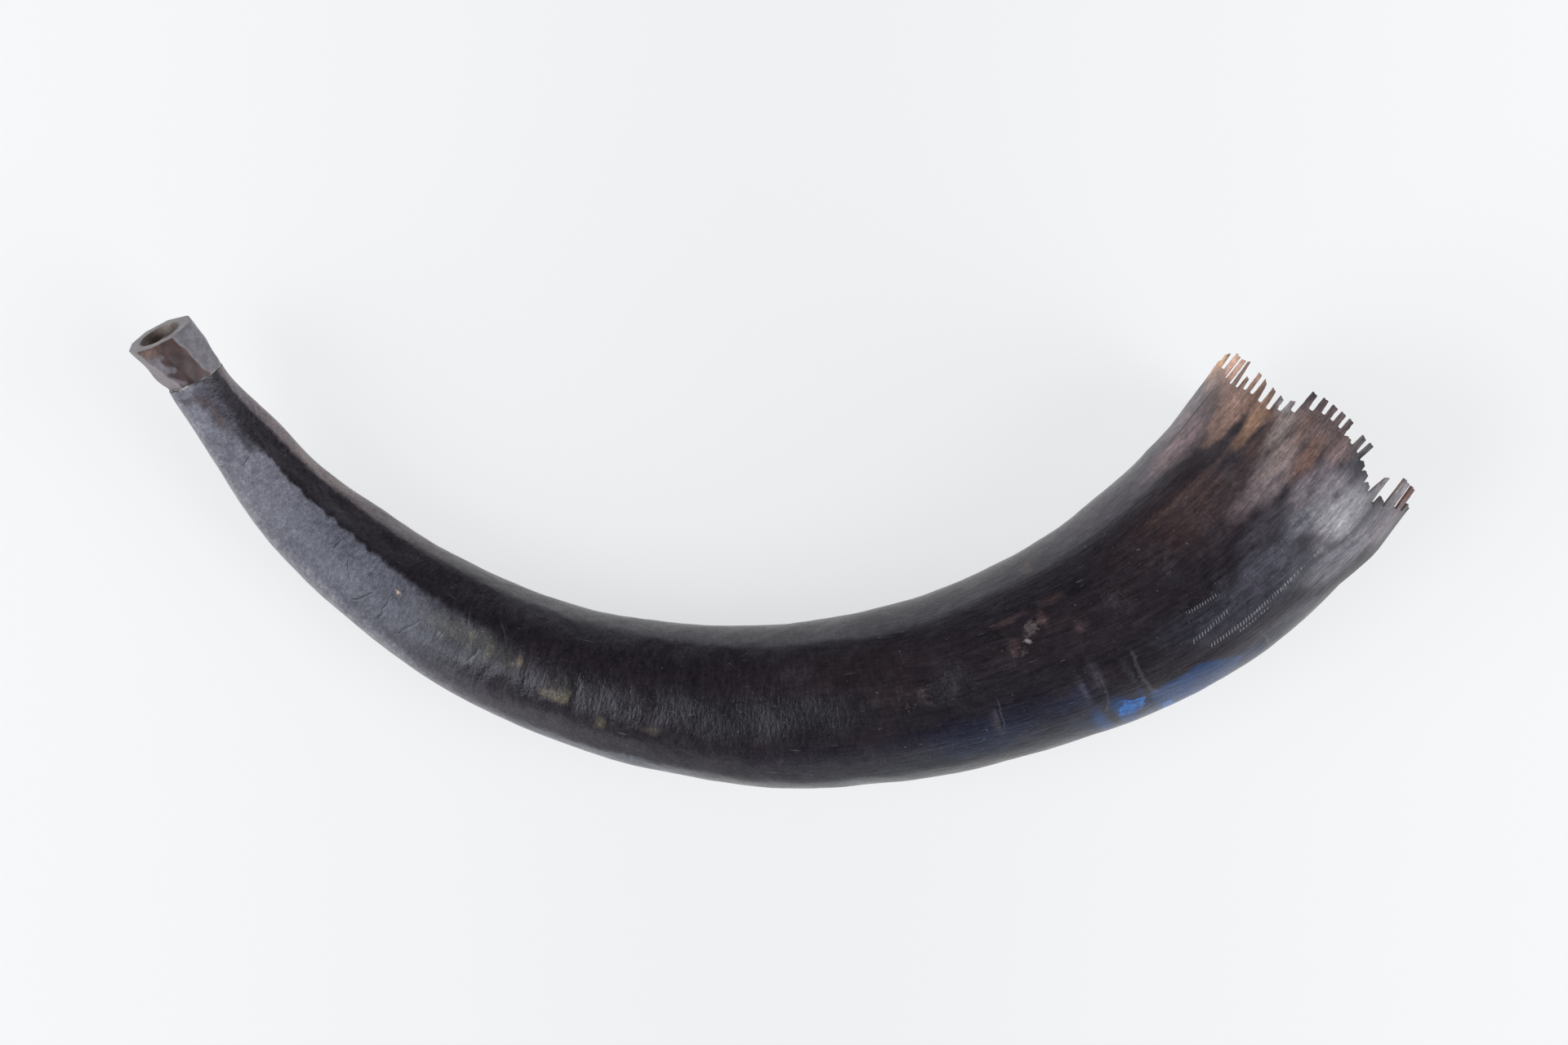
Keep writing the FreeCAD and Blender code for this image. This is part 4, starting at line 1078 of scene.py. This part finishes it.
    # scattered fine scratches
    for kx, ky, kz, seed, lo in ((9.0, 60.0, 60.0, 3.0, 0.70), (60.0, 14.0, 14.0, 9.0, 0.715)):
        v = g.vec(g.math("ADD", g.math("MULTIPLY", s, kx), seed), g.math("MULTIPLY", c, ky), g.math("MULTIPLY", sn, kz))
        sc = g.ramp(g.noise(v, 1.0, 2.0, 0.75, 0.3), lo, lo + 0.05)
        marks = g.math("MAXIMUM", marks, g.math("MULTIPLY", sc, 0.6))
    # cracks and lifted edges: a dark line, partly the crack and partly painted shade under the raised edge, with a
    # painted highlight on the lip beside it
    dark = lip_highlight = None
    wob = g.math("MULTIPLY", g.math("SUBTRACT", cloud, 0.5), 0.075)
    for s0, d0, s1, d1, wide, pale in CRACKS:
        slope = (s1 - s0) / (d1 - d0)
        line = g.math("ADD", s0 - slope * d0, g.math("MULTIPLY", deg, slope))
        off = g.math("ADD", g.math("SUBTRACT", s, line), wob)
        ends = g.math("MULTIPLY", g.ramp(deg, min(d0, d1) - 1.5, min(d0, d1) + 3.0), g.ramp(deg, max(d0, d1) + 1.5, max(d0, d1) - 3.0))
        one = g.math("MULTIPLY", g.ramp(g.math("ABSOLUTE", off, 0.0), wide, wide * 0.35), ends)
        two = g.math("MULTIPLY", g.math("MULTIPLY", g.ramp(g.math("ABSOLUTE", g.math("SUBTRACT", off, wide * 1.5), 0.0), wide * 0.9, wide * 0.2), ends), pale)
        dark = one if dark is None else g.math("MAXIMUM", dark, one)
        lip_highlight = two if lip_highlight is None else g.math("MAXIMUM", lip_highlight, two)
    for d0, s0, s1, wide in SEAMS:
        off = g.math("ADD", g.math("SUBTRACT", deg, d0), g.math("MULTIPLY", wob, 60.0))
        ends = g.math("MULTIPLY", g.ramp(s, s0 - 0.02, s0 + 0.05), g.ramp(s, s1 + 0.02, s1 - 0.05))
        one = g.math("MULTIPLY", g.ramp(g.math("ABSOLUTE", off, 0.0), wide, wide * 0.3), ends)
        dark = g.math("MAXIMUM", dark, one)
    col = g.mix(g.math("MULTIPLY", dark, 0.72), col, (0.010, 0.009, 0.012, 1))
    # painted highlight on the lips beside the cracks
    col = g.mix(g.math("MULTIPLY", lip_highlight, 0.22), col, (0.24, 0.24, 0.26, 1))
    col = g.mix(g.math("MULTIPLY", marks, 0.6), col, (0.30, 0.30, 0.31, 1))
    nt.links.new(col, bsdf.inputs["Base Color"])
    # sheen
    ro = g.math("ADD", base_ro, g.math("MULTIPLY", g.math("SUBTRACT", f1, 0.5), 0.22))
    ro = g.math("ADD", ro, g.math("MULTIPLY", g.math("SUBTRACT", cloud, 0.5), 0.20))
    ro = g.math("ADD", ro, g.math("MULTIPLY", wn, 0.12), clamp=True)
    nt.links.new(ro, bsdf.inputs["Roughness"])
    bsdf.inputs["IOR"].default_value = 1.44
    bsdf.inputs["Specular Tint"].default_value = (0.93, 0.95, 1.0, 1)
    n1 = g.bump(f1, 0.40, 0.0007)
    n2 = g.bump(f2, 0.30, 0.0003, n1)
    n3 = g.bump(grit, 0.42, 0.0006, n2)
    n4 = g.bump(speck, 0.25, 0.0002, n3)
    n5 = g.bump(fl, 0.5, 0.0003, n4)
    nt.links.new(n5, bsdf.inputs["Normal"])
    return m


def carved_material():
    m, nt, bsdf = material("carved_horn")
    g = G(nt)
    paint = g.attr("paint").outputs["Color"]
    even = g.node("ShaderNodeTexCoord").outputs["Object"]
    n1 = g.noise(even, 260.0, 4.0, 0.62)
    n2 = g.noise(even, 900.0, 3.0, 0.6)
    n3 = g.noise(even, 90.0, 3.0, 0.6, 0.3)
    depth = g.node("ShaderNodeSeparateXYZ")
    nt.links.new(paint, depth.inputs[0])
    col = g.mix(g.ramp(depth.outputs[1], 0.22, 0.06, 0.25, 1.0), paint, g.mix(g.ramp(n1, 0.3, 0.7), (0.62, 0.58, 0.58, 1), (1.45, 1.38, 1.34, 1)), "MULTIPLY")
    col = g.mix(0.6, col, g.mix(g.ramp(n2, 0.3, 0.7), (0.75, 0.75, 0.75, 1), (1.25, 1.25, 1.25, 1)), "MULTIPLY")
    col = g.mix(0.6, col, g.mix(g.ramp(n3, 0.3, 0.7), (0.8, 0.78, 0.78, 1), (1.2, 1.2, 1.2, 1)), "MULTIPLY")
    nt.links.new(col, bsdf.inputs["Base Color"])
    nt.links.new(g.math("ADD", 0.42, g.math("MULTIPLY", n1, 0.22)), bsdf.inputs["Roughness"])
    bsdf.inputs["IOR"].default_value = 1.54
    b1 = g.bump(n1, 0.3, 0.0004)
    b2 = g.bump(n2, 0.25, 0.00015, b1)
    nt.links.new(b2, bsdf.inputs["Normal"])
    return m


def cement_material():
    m, nt, bsdf = material("pitch_cement")
    g = G(nt)
    even = g.node("ShaderNodeTexCoord").outputs["Object"]
    n1 = g.noise(even, 420.0, 4.0, 0.65)
    n2 = g.noise(even, 120.0, 3.0, 0.6)
    col = g.mix(g.ramp(n2, 0.38, 0.62), (0.05, 0.04, 0.04, 1), (0.30, 0.285, 0.28, 1))
    col = g.mix(0.6, col, g.mix(g.ramp(n1, 0.3, 0.7), (0.6, 0.58, 0.56, 1), (1.35, 1.34, 1.32, 1)), "MULTIPLY")
    nt.links.new(col, bsdf.inputs["Base Color"])
    nt.links.new(g.ramp(n1, 0.2, 0.8, 0.5, 0.85), bsdf.inputs["Roughness"])
    nt.links.new(g.bump(n1, 0.5, 0.0003), bsdf.inputs["Normal"])
    return m


# ---------------------------------------------------------------------------
# The mouthpiece and its cement, in the frame of the seam: origin at the centre
# of the horn's cut tip, Z out of the tip, Y up, X to the outer side.
# ---------------------------------------------------------------------------
SEAM_O = np.array([-224.88, 68.18, 37.13])
_h, _s = math.radians(116.88), math.radians(16.27)
SEAM_Z = np.array([math.cos(_s) * math.cos(_h), math.cos(_s) * math.sin(_h), math.sin(_s)])
SEAM_X = np.array([-math.sin(_h), math.cos(_h), 0.0])
SEAM_Y = np.cross(SEAM_Z, SEAM_X)


def seam(p):
    p = np.asarray(p, float)
    return SEAM_O + p[..., :1] * SEAM_X + p[..., 1:2] * SEAM_Y + p[..., 2:3] * SEAM_Z


_p, _r = math.radians(11.76), math.radians(-2.05)
DRILL = np.array([math.sin(_p) * math.cos(_r), -math.sin(_r), math.cos(_p) * math.cos(_r)])
DX = np.cross([0, 1, 0], DRILL)
DX /= np.linalg.norm(DX)
DY = np.cross(DRILL, DX)
LEAN = math.radians(-6.4)
MOUTH_C = np.array([4.56, 0.8, 21.9])


def polygon_r(phi, corners, soft):
    """Radius towards phi of the polygon whose corners stand at (angle, radius), corners eased."""
    a = np.array([c[0] for c in corners], float)
    r = np.array([c[1] for c in corners], float)
    P = np.stack([r * np.cos(np.radians(a)), r * np.sin(np.radians(a))], -1)

    def exact(q):
        q = q % 360
        i = np.searchsorted(a, q, side="right") - 1
        i = np.where(i < 0, len(a) - 1, i)
        A, B = P[i], P[(i + 1) % len(a)]
        d = np.stack([np.cos(np.radians(q)), np.sin(np.radians(q))], -1)
        e = B - A
        return (A[:, 0] * e[:, 1] - A[:, 1] * e[:, 0]) / (d[:, 0] * e[:, 1] - d[:, 1] * e[:, 0])

    return sum(exact(phi + o) * w for o, w in ((-soft, 0.25), (0, 0.5), (soft, 0.25)))


BASE_CORNERS = [(8, 11.7), (64, 12.15), (92, 11.95), (124, 12.1), (168, 11.3), (205, 11.3), (250, 11.7), (295, 11.95), (335, 11.95)]
MOUTH_CORNERS = [(6, 13.35), (40, 13.2), (76, 13.15), (115, 13.7), (163, 14.7), (205, 14.2), (250, 13.4), (295, 13.25), (335, 13.25)]
knife = waves(50, 9, 14, 61)


def ring_drill(r, t, phi):
    return t * DRILL + r * np.cos(phi)[:, None] * DX + r * np.sin(phi)[:, None] * DY


def mouth_plane(r, phi, drop=0.0):
    c, s = math.cos(LEAN), math.sin(LEAN)
    x, y = r * np.cos(phi), r * np.sin(phi)
    return MOUTH_C + np.stack([x, y * c + drop * s, y * s - drop * c], -1)


def build_mouthpiece():
    n = 300
    phi = np.arange(n) * TAU / n
    deg = np.degrees(phi)
    rings, tone = [], []

    def add(P, t):
        rings.append(P)
        tone.append(np.broadcast_to(np.asarray(t, float), (n, 3)).copy())

    dark = rgb(66, 56, 54)
    for t in (-15.5, -14.9, -8, -2):
        add(ring_drill(6.2 if t > -15.2 else 5.9, t, phi), dark)
    # tenon runs into the base plane z = 0.5
    C = ring_drill(6.2, 0, phi)
    t = (0.5 - C[:, 2]) / DRILL[2]
    add(C + t[:, None] * DRILL, dark)
    base_r = polygon_r(deg, BASE_CORNERS, 2.0)
    flat = lambda r, z: np.stack([r * np.cos(phi), r * np.sin(phi), np.full(n, z)], -1)
    add(flat(base_r * 0.8, 0.5), dark)
    add(flat(base_r - 0.25, 0.5), dark)
    grey, brown, beige = rgb(108, 106, 112), rgb(58, 38, 36), rgb(122, 117, 118)
    lit = rgb(132, 128, 126)
    mr = polygon_r(deg, MOUTH_CORNERS, 2.4)
    V = np.concatenate([[0.012], np.linspace(0.04, 0.96, 26), [0.985]])
    for v in V:
        # corners drift a little round the collar from the seam to the mouth
        mix = [(b0 + (m0 - b0) * v, rb + (rm - rb) * v) for (b0, rb), (m0, rm) in zip(BASE_CORNERS, MOUTH_CORNERS)]
        r = polygon_r(deg, mix, 2.2)
        c0 = MOUTH_C * v
        tilt = LEAN * v
        x, y = r * np.cos(phi), r * np.sin(phi)
        lump = 0.5 * bell(v - 0.28, 0.16) * bell(wrap(deg - 8), 30) + 0.35 * bell(v - 0.12, 0.1) * bell(wrap(deg - 186), 26)
        lump = lump - 0.35 * bell(v - 0.05, 0.07) * bell(wrap(deg - 20), 34)
        lump = lump + 0.75 * bell(v - 0.55, 0.3) * bell(wrap(deg - 178), 40) - 0.3 * bell(v - 0.62, 0.2) * bell(wrap(deg - 30), 30)
        cut = 0.10 * knife(v * 21, phi) + lump - 0.12 * bell(v - 1.0, 0.05)
        x, y = x + cut * np.cos(phi), y + cut * np.sin(phi)
        P = np.stack([c0[0] + x, c0[1] + y * math.cos(tilt), 0.5 * (1 - v) + c0[2] + y * math.sin(tilt)], -1)
        R1 = 124 + (115 - 124) * v
        R2 = 64 + (40 - 64) * v
        R3 = 66 + (77 - 66) * v
        wob = 2.5 * knife(v * 30, phi * 1.0)
        is_right = step(deg, R1 + wob - 1.2, R1 + wob + 1.2)
        is_left = 1 - step(deg, R2 + wob - 1.2, R2 + wob + 1.2)
        is_mid = (1 - is_right) * (1 - is_left)
        midgrey = 1 - step(deg, R3 + 4 * wob - 5, R3 + 4 * wob + 6)
        col = grey[None] * np.ones((n, 1))
        b_tone = brown[None] * (1 - 0.0) * np.ones((n, 1))
        k2 = bell(wrap(deg - 92), 16) * bell(v - 0.45, 0.35)
        b_tone = b_tone * (1 - 0.45 * k2[:, None]) + rgb(40, 34, 38) * 0.45 * k2[:, None]
        k3 = bell(v - 0.9, 0.12) * bell(wrap(deg - 62), 26)
        b_tone = b_tone * (1 - 0.6 * k3[:, None]) + rgb(112, 92, 82) * 0.6 * k3[:, None]
        k4 = (midgrey * (1 - step(v * np.ones(n), 0.72, 0.86)))[:, None]
        b_tone = b_tone * (1 - 0.85 * k4) + rgb(104, 101, 107) * 0.85 * k4
        col = col * (1 - is_mid[:, None]) + b_tone * is_mid[:, None]
        col = col * (1 - is_left[:, None]) + beige * is_left[:, None]
        # paler ridges between the facets: worn, with a painted highlight along them
        for R in (R1, R2):
            e = bell(wrap(deg - R - wob), 1.5) * 0.6
            col = col * (1 - e[:, None]) + lit * e[:, None]
        under = step(np.abs(wrap(deg - 90)), 100, 130)[:, None]
        col = col * (1 - under) + rgb(74, 66, 64) * under
        add(P, col)
    pale = rgb(140, 136, 136)
    add(mouth_plane(mr - 0.55, phi, 0.0), pale)
    add(mouth_plane((mr - 0.9), phi, -0.08), pale)
    add(mouth_plane((mr + 9.0) / 2, phi, 0.0), rgb(136, 133, 135))
    add(mouth_plane(np.full(n, 9.0), phi, 0.03), rgb(134, 129, 128))
    add(mouth_plane(np.full(n, 8.2), phi, 0.12), rgb(120, 112, 106))
    # the funnel darkens step by step into the bore, and the bore is near black: painted shade
    for r, dz, tn in ((7.8, 0.5, (110, 98, 90)), (7.35, 1.4, (88, 74, 66)), (6.8, 2.6, (74, 60, 54)), (6.1, 4.0, (60, 48, 44)),
                      (5.3, 5.3, (48, 38, 36)), (4.5, 6.4, (40, 32, 30)), (4.08, 7.2, (34, 28, 26))):
        add(ring_drill(r, 22.4 - dz - 0.2, phi), rgb(*tn))
    for t in (12, 6, 0, -8, -15.5):
        add(ring_drill(4.0, t, phi), rgb(28, 22, 20))
    m = len(rings)
    b = Builder()
    P = seam(np.stack(rings))
    idx = b.add(P, np.zeros((m * n, 4))) + np.arange(m * n).reshape(m, n)
    ar, nx = np.arange(n), (np.arange(n) + 1) % n
    L = np.linalg.norm(np.diff(np.vstack([P[:, 0], P[:1, 0]]), axis=0), axis=1)
    vv = np.r_[0, np.cumsum(L + 0.15)] / (L + 0.15).sum()
    for i in range(m):
        j = (i + 1) % m
        b.quads(idx[i, ar], idx[i, nx], idx[j, nx], idx[j, ar],
                [(q / n, vv[i]) for q in ar], [((q + 1) / n, vv[i]) for q in ar],
                [((q + 1) / n, vv[i + 1]) for q in ar], [(q / n, vv[i + 1]) for q in ar])
    return b, np.vstack(tone)


def build_cement():
    n = 240
    phi = np.arange(n) * TAU / n
    r3 = np.random.default_rng(77)

    def ragged(k, amp):
        out = np.zeros(n)
        for i in range(1, k):
            out += r3.normal() / i**0.6 * np.cos(i * phi + r3.uniform(0, TAU))
        return amp * out / max(1e-6, np.abs(out).max())

    wob, swell, drop = ragged(26, 0.42), ragged(22, 0.3), ragged(14, 0.4)
    flat = lambda r, z: np.stack([r * np.cos(phi), r * np.sin(phi), z * np.ones(n)], -1)
    rings = [ring_drill(6.2, -14.6, phi), ring_drill(6.6, -14.6, phi), ring_drill(6.6, -8, phi), ring_drill(6.6, -1.6, phi)]
    rings.append(flat(7.4, -0.0))
    R = polygon_r(np.degrees(phi), BASE_CORNERS, 2.0) - 0.35 + swell * 0.4
    rings.append(flat(10.6, 0.0))
    for a in np.linspace(-100, 100, 9):
        rr = 0.42 + 0.5 * np.clip(swell, -0.2, 0.3)
        rings.append(flat(R + rr * math.cos(math.radians(a)), 0.25 + wob * 0.9 + (rr + 0.12) * math.sin(math.radians(a))))
    rings.append(flat(10.6, 0.5))
    C = ring_drill(6.2, 0, phi)
    t = (0.5 - C[:, 2]) / DRILL[2]
    rings.append(C + t[:, None] * DRILL + 0.0)
    m = len(rings)
    b = Builder()
    P = seam(np.stack(rings))
    idx = b.add(P, np.zeros((m * n, 4))) + np.arange(m * n).reshape(m, n)
    ar, nx = np.arange(n), (np.arange(n) + 1) % n
    for i in range(m):
        j = (i + 1) % m
        b.quads(idx[i, ar], idx[i, nx], idx[j, nx], idx[j, ar],
                [(q / n, i / m) for q in ar], [((q + 1) / n, i / m) for q in ar],
                [((q + 1) / n, (i + 1) / m) for q in ar], [(q / n, (i + 1) / m) for q in ar])
    return b


# ---------------------------------------------------------------------------
hb = build_horn()
data = np.vstack(hb.data)
where = data.copy()
where[:, 0] /= 100.0
horn = make("horn_body_skin", hb, {"where": where, "paint": horn_paint(data), "masks": horn_masks(data)})
horn.data.materials.append(horn_material())
mb, mtone = build_mouthpiece()
mouthpiece = make("mouthpiece_carved", mb, {"paint": mtone})
mouthpiece.data.materials.append(carved_material())
cb = build_cement()
cement = make("mouthpiece_cement_bead", cb, {})
cement.data.materials.append(cement_material())


def outward(ob):
    """Turns the faces outwards if the mesh came out inside out."""
    me = ob.data
    me.calc_loop_triangles()
    co = np.empty(len(me.vertices) * 3)
    me.vertices.foreach_get("co", co)
    co = co.reshape(-1, 3)
    tr = np.empty(len(me.loop_triangles) * 3, np.int32)
    me.loop_triangles.foreach_get("vertices", tr)
    t = co[tr.reshape(-1, 3)]
    vol = (np.cross(t[:, 0], t[:, 1]) * t[:, 2]).sum() / 6
    if vol < 0:
        me.flip_normals()
    ed = {}
    for p in me.polygons:
        for k in p.edge_keys:
            ed[k] = ed.get(k, 0) + 1
    loose = sum(1 for v in ed.values() if v != 2)
    return ob.name, round(abs(vol) * 1e6, 2), len(me.loop_triangles), loose


counts = [outward(o) for o in (horn, mouthpiece, cement)]
for o, node, sl in ((horn, "horn_body", "horn"), (mouthpiece, "mouthpiece", "mouthpiece_horn"), (cement, "mouthpiece_cement", "cement")):
    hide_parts(node)
    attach(o, "root")

# ---------------------------------------------------------------------------
# Set, light and camera
# ---------------------------------------------------------------------------
HORIZON, ZENITH = 0.75, 0.10
# azimuth, elevation, inner and outer angle, power
WINDOWS = [
    (196, 36, 12, 31, 5.2),
    (-16, 33, 12, 31, 5.2),
]
scene = bpy.context.scene
scene.view_settings.view_transform = "Standard"
scene.view_settings.look = "None"
scene.view_settings.exposure = 0.0
scene.view_settings.gamma = 1.0

me = bpy.data.meshes.new("floor")
R = 6.0
me.from_pydata([(-R, -R, 0), (R, -R, 0), (R, R, 0), (-R, R, 0)], [], [(0, 1, 2, 3)])
floor = bpy.data.objects.new("floor", me)
scene.collection.objects.link(floor)
fm, fnt, fb = material("floor_white")
fb.inputs["Base Color"].default_value = (0.19, 0.19, 0.187, 1)
fb.inputs["Roughness"].default_value = 0.9
fb.inputs["Emission Strength"].default_value = 0.755
fg = G(fnt)
fsep = fg.node("ShaderNodeSeparateXYZ")
fnt.links.new(fg.node("ShaderNodeTexCoord").outputs["Object"], fsep.inputs[0])
# emission dimmed in a band along the middle of the floor, brighter to the left and right: painted shade and light
fx = fg.math("POWER", fg.math("DIVIDE", fsep.outputs[0], 0.21), 2.0)
dim = fg.math("MULTIPLY", fg.math("EXPONENT", fg.math("MULTIPLY", fx, -1.0), 0.0), 0.085)
lit = fg.math("SUBTRACT", 1.0, dim)
fnt.links.new(fg.mix(1.0, (0.98, 0.988, 1.0, 1), fg.vec(lit, lit, lit), "MULTIPLY"), fb.inputs["Emission Color"])
fb.inputs["Specular IOR Level"].default_value = 0.0
floor.data.materials.append(fm)


world = bpy.data.worlds.new("world")
scene.world = world
world.use_nodes = True
wnt = world.node_tree
wnt.nodes.clear()
w = G(wnt)
wout = w.node("ShaderNodeOutputWorld")
wbg = w.node("ShaderNodeBackground")
wnt.links.new(wbg.outputs[0], wout.inputs["Surface"])
way = w.node("ShaderNodeTexCoord").outputs["Generated"]
wsep = w.node("ShaderNodeSeparateXYZ")
wnt.links.new(way, wsep.inputs[0])
level = w.ramp(wsep.outputs[2], 0.02, 0.42, HORIZON, ZENITH)


def window(azimuth, elevation, inner, outer, power, light):
    """A wide soft window: full inside one angle, gone at the other."""
    a, e = math.radians(azimuth), math.radians(elevation)
    n = w.node("ShaderNodeVectorMath", operation="DOT_PRODUCT")
    wnt.links.new(way, n.inputs[0])
    n.inputs[1].default_value = (math.cos(e) * math.cos(a), math.cos(e) * math.sin(a), math.sin(e))
    f = w.ramp(n.outputs["Value"], math.cos(math.radians(outer)), math.cos(math.radians(inner)), 0.0, power)
    return w.math("ADD", light, f)


for win in WINDOWS:
    level = window(*win, level)
seen = w.node("ShaderNodeLightPath").outputs["Is Camera Ray"]
tint = w.mix(seen, w.mix(1.0, (0.955, 0.98, 1.04, 1), w.vec(level, level, level), "MULTIPLY"), (0.90, 0.905, 0.92, 1))
wnt.links.new(tint, wbg.inputs["Color"])

cam_data = bpy.data.cameras.new("camera")
cam_data.lens = 86.3797
cam_data.sensor_width = 36.0
cam_data.clip_start, cam_data.clip_end = 0.05, 50
cam = bpy.data.objects.new("camera", cam_data)
cam.location = (0.00365, 0.01182, 1.5)
cam.rotation_euler = (0, 0, 0)
scene.collection.objects.link(cam)
scene.camera = cam
